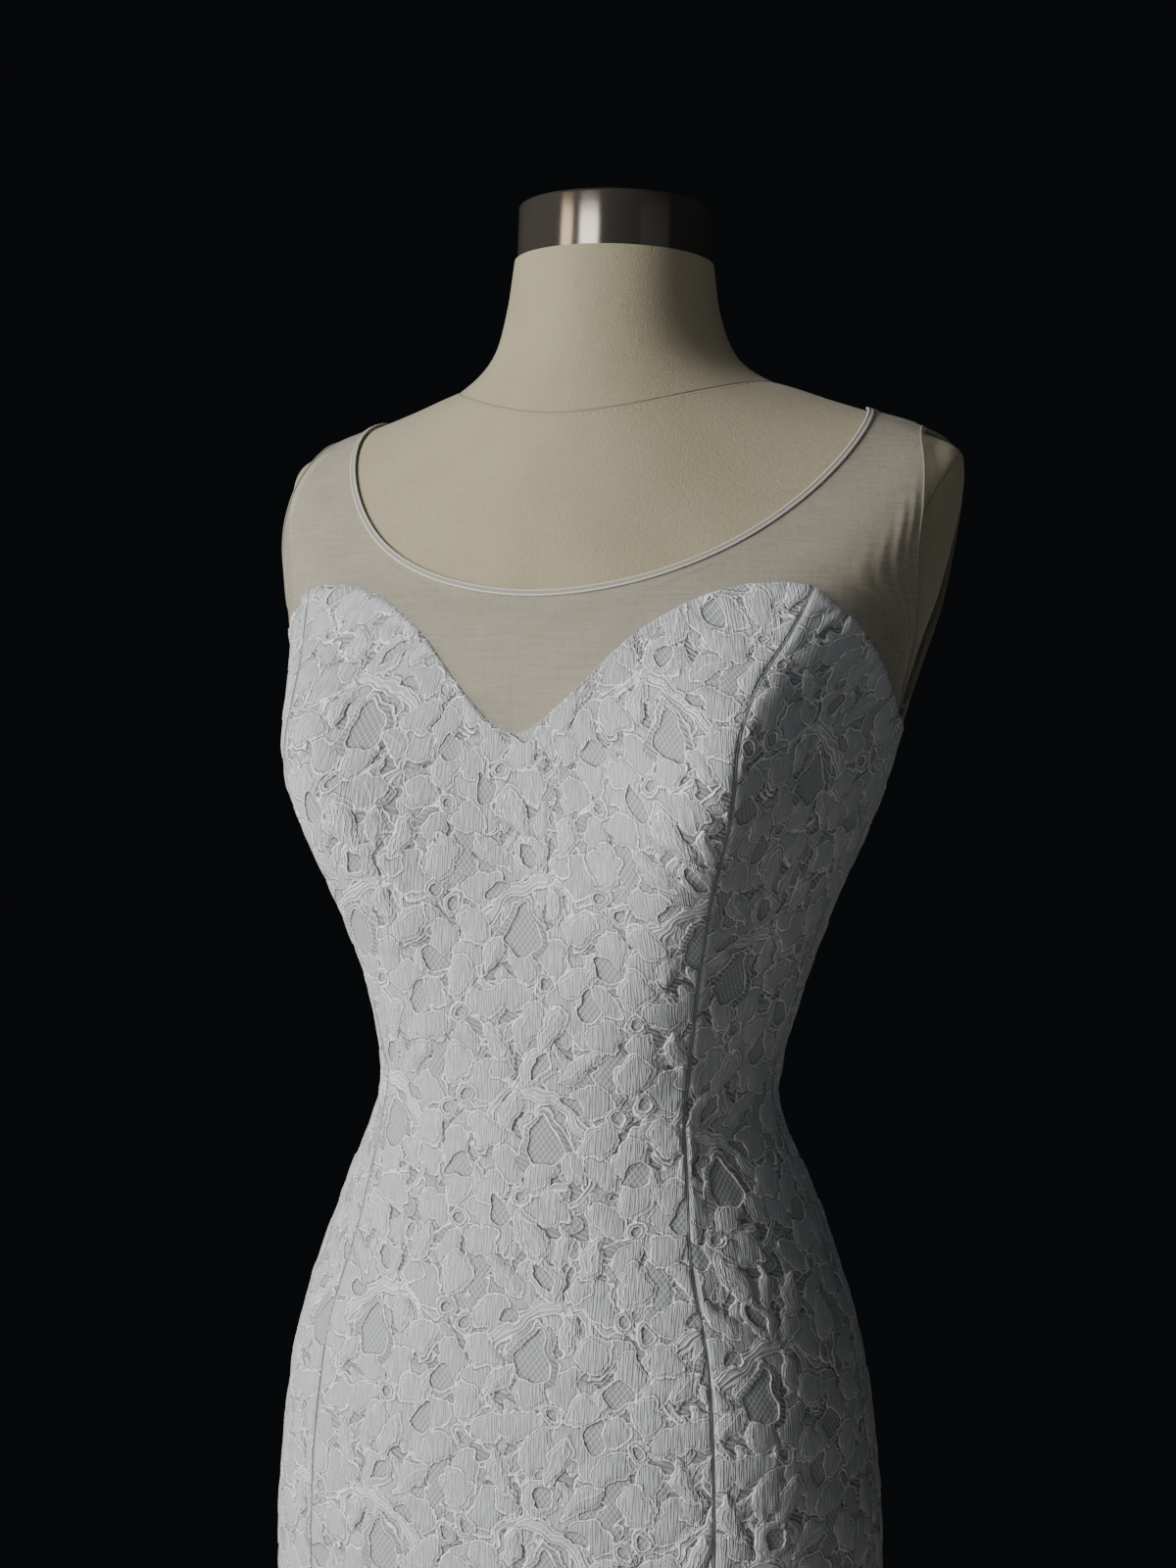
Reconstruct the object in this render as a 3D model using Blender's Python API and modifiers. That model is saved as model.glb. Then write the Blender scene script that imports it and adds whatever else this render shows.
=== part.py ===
# A fitted lace wedding gown with a sheer mesh yoke, standing on a limbless dress form.
# The front faces -Y, the wearer's left is +X, +Z is up and the floor is z = 0. Sizes are in metres.
import math
from collections import namedtuple

import bmesh
import bpy
import numpy as np
from mathutils import Vector

# Cloth
LACE_WALL = 0.0020  # corded lace mounted on satin
MESH_WALL = 0.0010
EASE = 0.0005  # how far the cloth lies off the form
SEAM_GAP = 0.0003
EDGE_GAP = 0.0005  # between the yoke's edge and the top edge of the lace, as a step in height
FACET_ROOM = 0.0006  # more room where two edges with unlike facets run side by side
NECK_BINDING = (0.0018, 0.0013)  # half width along the cloth, half thickness
ARM_BINDING = (0.0011, 0.0010)

# Dress form and stand
CAP_RADIUS = 0.0520
CAP_HEIGHT = 0.0290
CAP_ROUNDING = 0.0025
FORM_BOTTOM = 0.800
FORM_RECESS = 0.0024  # how far the form lies inside the measured outline where cloth covers it
RECESS_RUN = 0.010  # the step in height over which the recess begins below the neck edge
SOCKET_RADIUS = 0.030
SOCKET_HEIGHT = 0.030
POLE_RADIUS = 0.0160
BASE_RADIUS = 0.190
BASE_THICKNESS = 0.009
HUB_RADIUS = 0.034
HUB_HEIGHT = 0.030
FIT_GAP = 0.0003

# Zip pull at the top of the centre back
ZIP_DROP = 0.0110  # from the neck edge down to the hinge of the pull
SLIDER_HALF_WIDTH = 0.0030
SLIDER_UP = 0.0022
SLIDER_DOWN = 0.0062
SLIDER_THICK = 0.0022
PIN_RADIUS = 0.0005
EYE_HOLE = 0.00085
EYE_RADIUS = 0.0015
LUG_RADIUS = 0.0013
LUG_WIDTH = 0.0009
PULL_HALF_WIDTH = 0.0018
PULL_END_HALF_WIDTH = 0.0034
PULL_LENGTH = 0.0240
PULL_THICK = 0.0011

HEM = 0.015
KNEE = 0.500
HIP = 0.860
WAIST = 1.055
UNDERBUST = 1.150

# A level is named by its height at the centre front. Above the bust its ring rises to the shoulder
# ridge at the sides, so that one table carries the neck, the shoulders and the arm plates.
Ring = namedtuple(
    "Ring",
    "name front_z side_z back_z half_width front_y side_y back_y blunt_side blunt_front blunt_back",
)
BODY_RINGS = [
    Ring("neck_top", 1.4890, 1.4890, 1.4890, 0.0535, -0.0530, 0.0000, 0.0530, 1.00, 1.00, 1.00),
    Ring("neck_mid", 1.4600, 1.4620, 1.4640, 0.0575, -0.0565, 0.0020, 0.0580, 1.00, 1.00, 1.00),
    Ring("neck_low", 1.4300, 1.4400, 1.4480, 0.0660, -0.0590, 0.0060, 0.0680, 1.00, 1.00, 1.00),
    Ring("neck_seam", 1.4000, 1.4265, 1.4360, 0.0840, -0.0640, 0.0100, 0.0780, 1.00, 0.95, 1.00),
    Ring("collar", 1.3720, 1.4200, 1.4240, 0.1030, -0.0730, 0.0110, 0.0870, 1.00, 0.85, 0.95),
    Ring("yoke", 1.3500, 1.4130, 1.4080, 0.1230, -0.0805, 0.0110, 0.0940, 1.02, 0.75, 0.90),
    Ring("neckline", 1.3300, 1.4060, 1.3900, 0.1450, -0.0870, 0.0110, 0.0985, 1.05, 0.66, 0.85),
    Ring("strap", 1.3140, 1.3985, 1.3700, 0.1680, -0.0915, 0.0110, 0.1025, 1.10, 0.60, 0.80),
    Ring("shoulder", 1.3010, 1.3880, 1.3500, 0.1905, -0.0955, 0.0100, 0.1045, 1.16, 0.56, 0.75),
    Ring("tip", 1.2900, 1.3740, 1.3300, 0.1945, -0.1015, 0.0070, 0.1050, 1.20, 0.56, 0.75),
    Ring("plate_top", 1.2790, 1.3540, 1.3100, 0.1925, -0.1055, 0.0030, 0.1045, 1.22, 0.60, 0.80),
    Ring("plate", 1.2650, 1.3180, 1.2850, 0.1840, -0.1085, 0.0010, 0.1035, 1.22, 0.72, 0.90),
    Ring("plate_low", 1.2500, 1.2800, 1.2600, 0.1715, -0.1110, -0.0030, 0.1020, 1.20, 0.88, 1.00),
    Ring("armpit", 1.2350, 1.2450, 1.2380, 0.1620, -0.1125, -0.0055, 0.1000, 1.16, 1.00, 1.08),
    Ring("bust", 1.2150, 1.2150, 1.2150, 0.1540, -0.1130, -0.0070, 0.0965, 1.12, 1.10, 1.10),
    Ring("underbust", 1.1500, 1.1500, 1.1500, 0.1300, -0.1115, -0.0130, 0.0820, 1.06, 1.08, 1.10),
    Ring("midriff", 1.1000, 1.1000, 1.1000, 0.1150, -0.1085, -0.0180, 0.0680, 1.02, 1.05, 1.08),
    Ring("waist", 1.0550, 1.0550, 1.0550, 0.1060, -0.1045, -0.0200, 0.0600, 1.00, 1.04, 1.06),
    Ring("high_hip", 0.9900, 0.9900, 0.9900, 0.1285, -0.1100, -0.0110, 0.0800, 1.02, 1.08, 1.10),
    Ring("belly", 0.9300, 0.9300, 0.9300, 0.1480, -0.1170, -0.0090, 0.0980, 1.06, 1.12, 1.10),
    Ring("hip", 0.8600, 0.8600, 0.8600, 0.1590, -0.1180, -0.0065, 0.1090, 1.10, 1.12, 1.10),
    Ring("seat", 0.8000, 0.8000, 0.8000, 0.1625, -0.1150, -0.0045, 0.1100, 1.10, 1.10, 1.08),
]
SKIRT_RINGS = [
    Ring("thigh_high", 0.7300, 0.7300, 0.7300, 0.1610, -0.1130, -0.0010, 0.1120, 1.08, 1.08, 1.06),
    Ring("thigh", 0.6500, 0.6500, 0.6500, 0.1550, -0.1100, 0.0020, 0.1120, 1.05, 1.05, 1.04),
    Ring("above_knee", 0.5800, 0.5800, 0.5800, 0.1490, -0.1090, 0.0040, 0.1130, 1.03, 1.03, 1.02),
    Ring("knee", 0.5000, 0.5000, 0.5000, 0.1470, -0.1120, 0.0060, 0.1180, 1.02, 1.02, 1.01),
    Ring("below_knee", 0.4200, 0.4200, 0.4200, 0.1570, -0.1240, 0.0080, 0.1340, 1.01, 1.01, 1.00),
    Ring("calf", 0.3200, 0.3200, 0.3200, 0.1850, -0.1540, 0.0120, 0.1740, 1.00, 1.00, 1.00),
    Ring("shin", 0.2100, 0.2100, 0.2100, 0.2310, -0.2020, 0.0180, 0.2400, 1.00, 1.00, 1.00),
    Ring("ankle", 0.1000, 0.1000, 0.1000, 0.2830, -0.2520, 0.0250, 0.3180, 1.00, 1.00, 1.00),
    Ring("hem", 0.0150, 0.0150, 0.0150, 0.3200, -0.2860, 0.0300, 0.3720, 1.00, 1.00, 1.00),
]

# Bust of the form: where the apex lies, how far it spreads, and how far it stands out
BUST_TURN = math.radians(36)
BUST_SPREAD = math.radians(19)
BUST_HEIGHT = 1.2165
BUST_ABOVE = 0.062
BUST_BELOW = 0.095
BUST_OUT = 0.038
BUST_AIM = math.radians(24)

# Soft flutes of the flared skirt: waves around, turn of the first crest, share of the depth
Flute = namedtuple("Flute", "waves shift share")
FLUTES = [Flute(9, 0.35, 0.70), Flute(5, -0.80, 0.30)]
FLUTE_TOP = 0.520
FLUTE_DEPTH = 0.019

# Edges and seams: a turn from the centre front in degrees against a level, read on one side
Point = namedtuple("Point", "name turn level")
NECK_FRONT = 1.3045
NECK_SHOULDER = 1.3340
NECK_BACK = 1.2900
NECK_CURVE = 1.6  # power of the scoop
LACE_EDGE = [
    Point("v", 0.0, 1.2335),
    Point("v_side", 3.0, 1.2375),
    Point("rise", 7.0, 1.2505),
    Point("cup_in", 13.5, 1.2780),
    Point("cup_rise", 19.0, 1.2885),
    Point("cup_top", 25.5, 1.2918),
    Point("cup_out", 34.0, 1.2857),
    Point("cup_fall", 44.5, 1.2715),
    Point("side_front", 57.0, 1.2590),
    Point("front_underarm", 72.0, 1.2482),
    Point("underarm", 90.0, 1.2385),
    Point("side_back", 115.0, 1.2360),
    Point("centre_back", 180.0, 1.2330),
]
ARMHOLE = [
    Point("shoulder", 90.0, 1.3130),
    Point("front_top", 76.0, 1.3085),
    Point("front_high", 66.0, 1.2965),
    Point("front", 62.5, 1.2860),
    Point("front_low", 65.0, 1.2740),
    Point("front_under", 73.0, 1.2620),
    Point("front_corner", 82.0, 1.2500),
    Point("under_front", 87.5, 1.2425),
    Point("under", 92.0, 1.2397),
    Point("under_back", 98.0, 1.2410),
    Point("back_corner", 106.0, 1.2500),
    Point("back_low", 114.0, 1.2650),
    Point("back", 117.0, 1.2800),
    Point("back_high", 112.0, 1.2980),
    Point("back_top", 101.0, 1.3100),
]
FRONT_CORNER_TURN = 87.0
BACK_CORNER_TURN = 99.0

FRONT_PRINCESS = [
    Point("hem", 35.0, 0.0150),
    Point("knee", 35.0, 0.5000),
    Point("thigh", 38.0, 0.7000),
    Point("hip", 40.5, 0.8600),
    Point("belly", 42.3, 0.9300),
    Point("high_hip", 43.0, 0.9900),
    Point("waist_low", 47.5, 1.0300),
    Point("waist", 49.8, 1.0600),
    Point("midriff", 47.5, 1.1000),
    Point("underbust", 43.5, 1.1500),
    Point("under_apex", 41.0, 1.2000),
    Point("apex", 37.6, 1.2290),
    Point("over_apex", 36.6, 1.2480),
    Point("cup", 38.0, 1.2680),
    Point("edge", 40.5, 1.3000),
]
SIDE_SEAM = [Point("hem", 90.0, 0.0150), Point("underarm", 92.0, 1.3000)]
BACK_PRINCESS = [
    Point("hem", 142.0, 0.0150),
    Point("knee", 142.0, 0.5000),
    Point("hip", 140.0, 0.8600),
    Point("waist", 136.0, 1.0550),
    Point("underbust", 131.0, 1.1500),
    Point("edge", 129.0, 1.3000),
]

CENTRE_COLUMNS = 14
CENTRE_GATHER = 1.3  # the middle columns stand closer, for the point of the neckline
FRONT_COLUMNS = 5
BACK_COLUMNS = 6
ARM_COLUMNS = 12  # of a yoke, along its armhole
YOKE_ROWS = 5
NECK_BINDING_STEPS = 32  # from the centre front to the centre back
ARM_BINDING_STEPS = 36
BINDING_SIDES = 6
FORM_COLUMNS = 44
TURNED_STEPS = 40

Finish = namedtuple("Finish", "name colour roughness metallic")
LACE = Finish("white_lace", (0.84, 0.86, 0.89), 0.60, 0.0)
MESH = Finish("sheer_mesh", (0.72, 0.70, 0.66), 0.50, 0.0)
SATIN = Finish("satin_binding", (0.78, 0.79, 0.80), 0.35, 0.0)
LINEN = Finish("form_linen", (0.74, 0.69, 0.60), 0.80, 0.0)
CHROME = Finish("chrome_cap", (0.75, 0.74, 0.72), 0.12, 1.0)
STEEL = Finish("stand_steel", (0.10, 0.10, 0.11), 0.40, 0.0)
ZIP_METAL = Finish("zip_white", (0.80, 0.81, 0.82), 0.35, 0.0)


def smooth_between(places, values, wanted):
    """Values at the wanted places, on a smooth curve through a short table sorted by place."""
    slopes = np.zeros_like(values)
    runs = np.diff(places)
    rises = np.diff(values, axis=0) / runs[:, None]
    weights = (runs[1:] + runs[:-1])[:, None]
    slopes[1:-1] = (rises[:-1] * runs[1:, None] + rises[1:] * runs[:-1, None]) / weights
    slopes[0] = rises[0]
    slopes[-1] = rises[-1]
    wanted = np.clip(np.asarray(wanted, float), places[0], places[-1])
    k = np.clip(np.searchsorted(places, wanted, side="right") - 1, 0, len(places) - 2)
    run = runs[k][..., None]
    t = (wanted - places[k])[..., None] / run
    low = (2 * t**3 - 3 * t**2 + 1) * values[k] + (t**3 - 2 * t**2 + t) * run * slopes[k]
    high = (3 * t**2 - 2 * t**3) * values[k + 1] + (t**3 - t**2) * run * slopes[k + 1]
    return low + high


def ring_table(rings):
    """A section table as levels, sorted upwards, and the numbers of each ring."""
    numbers = np.array([ring[1:] for ring in reversed(rings)], float)
    return numbers[:, 0], numbers


FORM_TABLE = ring_table(BODY_RINGS)
GOWN_TABLE = ring_table(BODY_RINGS[:-1] + SKIRT_RINGS)


def surface(table, turn, level):
    """The point at a turn from the centre front, in radians towards +X, on the ring of a level."""
    turn, level = np.broadcast_arrays(np.asarray(turn, float), np.asarray(level, float))
    ring = Ring("", *np.moveaxis(smooth_between(*table, level), -1, 0))
    sine, cosine = np.sin(turn), np.cos(turn)
    ahead = np.abs(cosine)
    in_front = cosine > 0
    blunt = np.where(in_front, ring.blunt_front, ring.blunt_back)
    end_y = np.where(in_front, ring.front_y, ring.back_y)
    end_z = np.where(in_front, ring.front_z, ring.back_z)
    x = ring.half_width * (ring.blunt_side * sine + (1 - ring.blunt_side) * sine**3)
    y = ring.side_y + (end_y - ring.side_y) * (blunt * ahead + (1 - blunt) * ahead**3)
    z = ring.side_z + (end_z - ring.side_z) * ahead**2
    reach = np.where(z > BUST_HEIGHT, BUST_ABOVE, BUST_BELOW)
    around = np.abs(np.arctan2(sine, cosine)) - BUST_TURN
    out = BUST_OUT * np.exp(-(((z - BUST_HEIGHT) / reach) ** 2)) * np.exp(-((around / BUST_SPREAD) ** 2))
    x = x + np.sign(sine) * np.minimum(1.0, np.abs(sine) / 0.3) * out * math.sin(BUST_AIM)
    y = y - out * math.cos(BUST_AIM)
    low = np.clip((FLUTE_TOP - z) / (FLUTE_TOP - HEM), 0.0, 1.0)
    wave = sum(flute.share * np.cos(flute.waves * turn + flute.shift) for flute in FLUTES)
    swell = 1 + FLUTE_DEPTH * low**1.6 * wave / np.maximum(0.1, np.hypot(x, y))
    return np.stack([x * swell, y * swell, z], -1)


def steepness(table, turn, level):
    """How far a point of the surface moves for each radian of turn and each metre of level."""
    step = 1e-4
    across = surface(table, turn + step, level) - surface(table, turn - step, level)
    up = surface(table, turn, level + step) - surface(table, turn, level - step)
    return across / (2 * step), up / (2 * step)


def outward(table, turn, level):
    """The unit normals of the surface, pointing away from the form."""
    normal = np.cross(*steepness(table, turn, level))
    return normal / np.linalg.norm(normal, axis=-1, keepdims=True)


def lifted(table, turn, level, height):
    """Points that lie a height off the surface."""
    return surface(table, turn, level) + outward(table, turn, level) * height


def curve_value(points, wanted, by="level"):
    """A seam's turn at a level in radians, or an edge's level at a turn in radians."""
    turns = np.radians([point.turn for point in points])
    levels = np.array([point.level for point in points])
    places, values = (levels, turns) if by == "level" else (turns, levels)
    return smooth_between(places, values[:, None], wanted)[..., 0]


def lace_edge(turn):
    return curve_value(LACE_EDGE, np.abs(turn), by="turn")


def neck_edge(turn):
    """The neckline: a scoop in front, a shallow one behind, meeting at the shoulder."""
    share = np.abs(turn) / (math.pi / 2)
    front = NECK_FRONT + (NECK_SHOULDER - NECK_FRONT) * np.minimum(share, 1) ** NECK_CURVE
    back = NECK_BACK + (NECK_SHOULDER - NECK_BACK) * np.clip(2 - share, 0, 1) ** NECK_CURVE
    return np.where(share <= 1, front, back)


def armhole(share):
    """Turn in radians and level around the armhole, from the shoulder down the front and up the back."""
    rows = ARMHOLE + [ARMHOLE[0]]
    wrapped = rows[-3:-1] + rows + rows[1:3]
    places = np.arange(-2, len(rows) + 2, dtype=float)
    values = np.array([[row.turn, row.level] for row in wrapped])
    found = smooth_between(places, values, np.asarray(share, float) * (len(rows) - 1))
    return np.radians(found[..., 0]), found[..., 1]


def beside(turns, levels, distance):
    """Turns and levels of a line moved sideways on the surface, to its left as seen from outside."""
    along = np.gradient(surface(GOWN_TABLE, turns, levels), axis=0)
    aside = np.cross(outward(GOWN_TABLE, turns, levels), along)
    aside *= distance / np.linalg.norm(aside, axis=1, keepdims=True)
    per_turn, per_level = steepness(GOWN_TABLE, turns, levels)
    solver = np.linalg.pinv(np.stack([per_turn, per_level], axis=-1))
    moved = np.einsum("nij,nj->ni", solver, aside)
    return turns + moved[:, 0], levels + moved[:, 1]


def make_object(name, mesh, finish, origin=(0, 0, 0)):
    obj = bpy.data.objects.new(name, mesh)
    obj.location = origin
    material = bpy.data.materials.new(f"{name}_{finish.name}")
    material.use_nodes = True
    shader = material.node_tree.nodes["Principled BSDF"]
    shader.inputs["Base Color"].default_value = (*finish.colour, 1.0)
    shader.inputs["Roughness"].default_value = finish.roughness
    shader.inputs["Metallic"].default_value = finish.metallic
    mesh.materials.append(material)
    mesh.shade_smooth()
    mesh.set_sharp_from_angle(angle=math.radians(40))
    collection.objects.link(obj)
    return obj


def finished(name, bm, finish, origin=(0, 0, 0)):
    bmesh.ops.recalc_face_normals(bm, faces=bm.faces)
    mesh = bpy.data.meshes.new(name)
    bm.to_mesh(mesh)
    bm.free()
    return make_object(name, mesh, finish, origin)


def loft_faces(bm, rows, closed_rows, closed_columns=False):
    """Quads between neighbouring rows of vertices."""
    count = len(rows[0])
    for i in range(len(rows) if closed_columns else len(rows) - 1):
        low, high = rows[i], rows[(i + 1) % len(rows)]
        for j in range(count if closed_rows else count - 1):
            k = (j + 1) % count
            bm.faces.new((low[j], low[k], high[k], high[j]))


def skin_faces(bm, rows, normals):
    """Two triangles for each cell of a grid, split so that the skin bulges outwards."""
    for i in range(len(rows) - 1):
        for j in range(len(rows[0]) - 1):
            a, b, c, d = rows[i][j], rows[i][j + 1], rows[i + 1][j + 1], rows[i + 1][j]
            across = (a.co + c.co - b.co - d.co).dot(normals[i][j])
            split = ((a, b, c), (a, c, d)) if across > 0 else ((a, b, d), (b, c, d))
            for corners in split:
                bm.faces.new(corners)


def cloth_wall(name, table, turns, levels, wall, finish):
    """A closed wall of cloth over a grid of turns and levels, [row][column]."""
    bm = bmesh.new()
    normals = [[Vector(normal) for normal in row] for row in outward(table, turns, levels)]
    skins = []
    for height in (EASE, EASE + wall):
        points = lifted(table, turns, levels, height)
        skins.append([[bm.verts.new(point) for point in row] for row in points])
        skin_faces(bm, skins[-1], normals)
    inner, outer = skins
    for edge in (0, -1):
        loft_faces(bm, [inner[edge], outer[edge]], False)
        loft_faces(bm, [[row[edge] for row in inner], [row[edge] for row in outer]], False)
    return finished(name, bm, finish)


def column_shares(columns, gather=1.0):
    """Places of the columns across a panel, from 0 to 1, gathered towards its middle."""
    across = np.linspace(-1, 1, columns + 1)
    return (1 + np.sign(across) * np.abs(across) ** gather) / 2


def top_row(first, last, share):
    """Turns and levels of the columns' ends on the top edge of the lace."""
    levels = np.full(share.shape, UNDERBUST)
    for _ in range(4):
        turns = first(levels) * (1 - share) + last(levels) * share
        levels = lace_edge(turns)
    return turns, levels


def lace_panel(name, first, last, columns, gather=1.0):
    """A full-length panel between two seams, each a function of level that gives a turn."""
    share = column_shares(columns, gather)
    top_turns, top_levels = top_row(first, last, share)
    skirt = [
        np.linspace(HEM, KNEE, 8, endpoint=False),
        np.linspace(KNEE, HIP, 4, endpoint=False),
        np.linspace(HIP, WAIST, 6, endpoint=False),
        np.linspace(WAIST, UNDERBUST, 4, endpoint=False),
    ]
    below = np.concatenate(skirt)[:, None] + 0 * share
    rise = np.linspace(0, 1, 7)[:, None]
    levels = np.concatenate([below, UNDERBUST + (top_levels - UNDERBUST) * rise])
    turns = first(levels) * (1 - share) + last(levels) * share
    turns[-1] = top_turns
    across = steepness(GOWN_TABLE, turns, levels)[0]
    half_gap = SEAM_GAP / 2 / np.linalg.norm(across, axis=-1)
    turns = turns + half_gap * (1 - 2 * share)
    return cloth_wall(name, GOWN_TABLE, turns, levels, LACE_WALL, LACE)


def seam(points, side=1):
    return lambda level: side * curve_value(points, level)


def centre_back(level):
    return np.full(np.shape(level), math.pi)


def make_panels():
    front, side, back = (seam(points) for points in (FRONT_PRINCESS, SIDE_SEAM, BACK_PRINCESS))
    far_front, far_side = seam(FRONT_PRINCESS, -1), seam(SIDE_SEAM, -1)
    far_back = seam(BACK_PRINCESS, -1)
    lace_panel("centre_front", far_front, front, CENTRE_COLUMNS, CENTRE_GATHER)
    lace_panel("side_front_left", front, side, FRONT_COLUMNS)
    lace_panel("side_front_right", far_side, far_front, FRONT_COLUMNS)
    lace_panel("side_back_left", side, back, BACK_COLUMNS)
    lace_panel("side_back_right", far_back, far_side, BACK_COLUMNS)
    lace_panel("centre_back_left", back, centre_back, BACK_COLUMNS)
    lace_panel("centre_back_right", lambda level: -centre_back(level), far_back, BACK_COLUMNS)


def yoke_half(start, end, arm_end, edge_turns):
    """Turns and levels of a yoke, [row][column], from the shoulder to the centre, neck edge first.

    Its lower edge has a column at each column of the lace below it, so that the two edges match.
    """
    front = arm_end < 0.5
    arm_line = armhole(np.linspace(0.0 if front else 1.0, arm_end, ARM_COLUMNS))
    room = ARM_BINDING[0] + SEAM_GAP + FACET_ROOM
    arm_turns, arm_levels = beside(*arm_line, -room if front else room)
    arm_turns[0] = start
    outer_turns = np.concatenate([arm_turns, edge_turns])
    outer_levels = np.concatenate([arm_levels, lace_edge(edge_turns) + EDGE_GAP])
    neck_turns = start + (end - start) * np.linspace(0, 1, len(outer_turns))
    room = NECK_BINDING[0] + SEAM_GAP + FACET_ROOM / 2
    neck_turns, neck_levels = beside(neck_turns, neck_edge(neck_turns), room if front else -room)
    neck_turns[0], neck_turns[-1] = start, end
    down = np.linspace(0, 1, YOKE_ROWS + 1)[:, None]
    turns = neck_turns * (1 - down) + outer_turns * down
    return turns, neck_levels * (1 - down) + outer_levels * down


def edge_columns(seams, columns, gathers, corner, end):
    """Turns of the lace's columns on its top edge, from an underarm corner to the centre."""
    found = []
    for (first, last), count, gather in zip(seams, columns, gathers):
        found += list(top_row(first, last, column_shares(count, gather))[0])
    low, high = sorted((corner, end))
    inner = [turn for turn in sorted(found) if low + 0.02 < turn < high - 0.02]
    spread = [low] + [b for a, b in zip([low] + inner, inner) if b - a > 0.002] + [high]
    return np.array(spread if corner < end else spread[::-1])


def make_yokes():
    shoulder_gap = 0.0012  # radians, about 0.15 mm on the shoulder
    back_gap = 0.0016
    princess, side = seam(FRONT_PRINCESS), seam(SIDE_SEAM)
    seams = [(seam(FRONT_PRINCESS, -1), princess), (princess, side)]
    counts, gathers = (CENTRE_COLUMNS, FRONT_COLUMNS), (CENTRE_GATHER, 1.0)
    edge = edge_columns(seams, counts, gathers, math.radians(FRONT_CORNER_TURN), 0.0)
    turns, levels = yoke_half(math.pi / 2 - shoulder_gap, 0.0, 0.44, edge)
    whole_turns = np.concatenate([turns, -turns[:, -2::-1]], axis=1)
    whole_levels = np.concatenate([levels, levels[:, -2::-1]], axis=1)
    cloth_wall("front_yoke", GOWN_TABLE, whole_turns, whole_levels, MESH_WALL, MESH)
    princess = seam(BACK_PRINCESS)
    seams = [(side, princess), (princess, centre_back)]
    counts, gathers = (BACK_COLUMNS, BACK_COLUMNS), (1.0, 1.0)
    end = math.pi - back_gap
    edge = edge_columns(seams, counts, gathers, math.radians(BACK_CORNER_TURN), end)
    turns, levels = yoke_half(math.pi / 2 + shoulder_gap, end, 0.64, edge)
    cloth_wall("back_yoke_left", GOWN_TABLE, turns, levels, MESH_WALL, MESH)
    cloth_wall("back_yoke_right", GOWN_TABLE, -turns, levels, MESH_WALL, MESH)


def binding(name, turns, levels, half_size, closed):
    """A bias strip rolled over an edge: a flat oval section swept along a line on the surface."""
    half_width, half_thick = half_size
    lift = EASE + half_thick
    middle = lifted(GOWN_TABLE, turns, levels, lift)
    normal = outward(GOWN_TABLE, turns, levels)
    if closed:
        along = np.roll(middle, -1, axis=0) - np.roll(middle, 1, axis=0)
    else:
        along = np.gradient(middle, axis=0)
    along /= np.linalg.norm(along, axis=1, keepdims=True)
    aside = np.cross(normal, along)
    bm = bmesh.new()
    rows = []
    for point, n, s in zip(middle, normal, aside):
        angles = [2 * math.pi * k / BINDING_SIDES for k in range(BINDING_SIDES)]
        ring = [point + s * half_width * math.cos(a) + n * half_thick * math.sin(a) for a in angles]
        rows.append([bm.verts.new(place) for place in ring])
    loft_faces(bm, rows, True, closed_columns=closed)
    if not closed:
        bm.faces.new(rows[0])
        bm.faces.new(rows[-1])
    return finished(name, bm, SATIN)


def make_bindings():
    end_gap = 0.0016
    turns = np.linspace(-math.pi + end_gap, math.pi - end_gap, 2 * NECK_BINDING_STEPS + 1)
    binding("neckline_binding", turns, neck_edge(turns), NECK_BINDING, closed=False)
    turns, levels = armhole(np.linspace(0, 1, ARM_BINDING_STEPS, endpoint=False))
    binding("armhole_binding_left", turns, levels, ARM_BINDING, closed=True)
    binding("armhole_binding_right", -turns, levels, ARM_BINDING, closed=True)


def make_form():
    """The whole torso and neck of the dress form, closed at the neck and below."""
    rings = [ring.front_z for ring in BODY_RINGS]
    levels = []
    for high, low in zip(rings, rings[1:]):
        steps = max(1, round((high - low) / 0.030))
        levels += list(np.linspace(high, low, steps, endpoint=False))
    levels.append(FORM_BOTTOM)
    turns = np.linspace(0, 2 * math.pi, FORM_COLUMNS, endpoint=False)
    bm = bmesh.new()
    turns, levels = np.broadcast_arrays(turns[None, :], np.array(levels)[:, None])
    about = np.arctan2(np.sin(turns), np.cos(turns))
    covered = np.clip((neck_edge(about) - levels) / RECESS_RUN, 0.0, 1.0)
    points = surface(FORM_TABLE, turns, levels)
    points = points - outward(FORM_TABLE, turns, levels) * (FORM_RECESS * covered)[..., None]
    rows = [[bm.verts.new(point) for point in row] for row in points]
    loft_faces(bm, rows, True)
    bm.faces.new(rows[0])
    bm.faces.new(rows[-1])
    finished("form_torso", bm, LINEN)


def turned(name, profile, finish, steps=TURNED_STEPS):
    """A solid of revolution about Z from a profile of (radius, height), read downwards."""
    bm = bmesh.new()
    verts = [bm.verts.new((radius, 0, height)) for radius, height in profile]
    for first, second in zip(verts, verts[1:]):
        bm.edges.new((first, second))
    mesh = bpy.data.meshes.new(name)
    bm.to_mesh(mesh)
    bm.free()
    obj = make_object(name, mesh, finish)
    screw = obj.modifiers.new("turned", "SCREW")
    screw.steps = steps
    screw.render_steps = steps
    screw.use_merge_vertices = True
    screw.merge_threshold = 0.00001
    return obj


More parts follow.
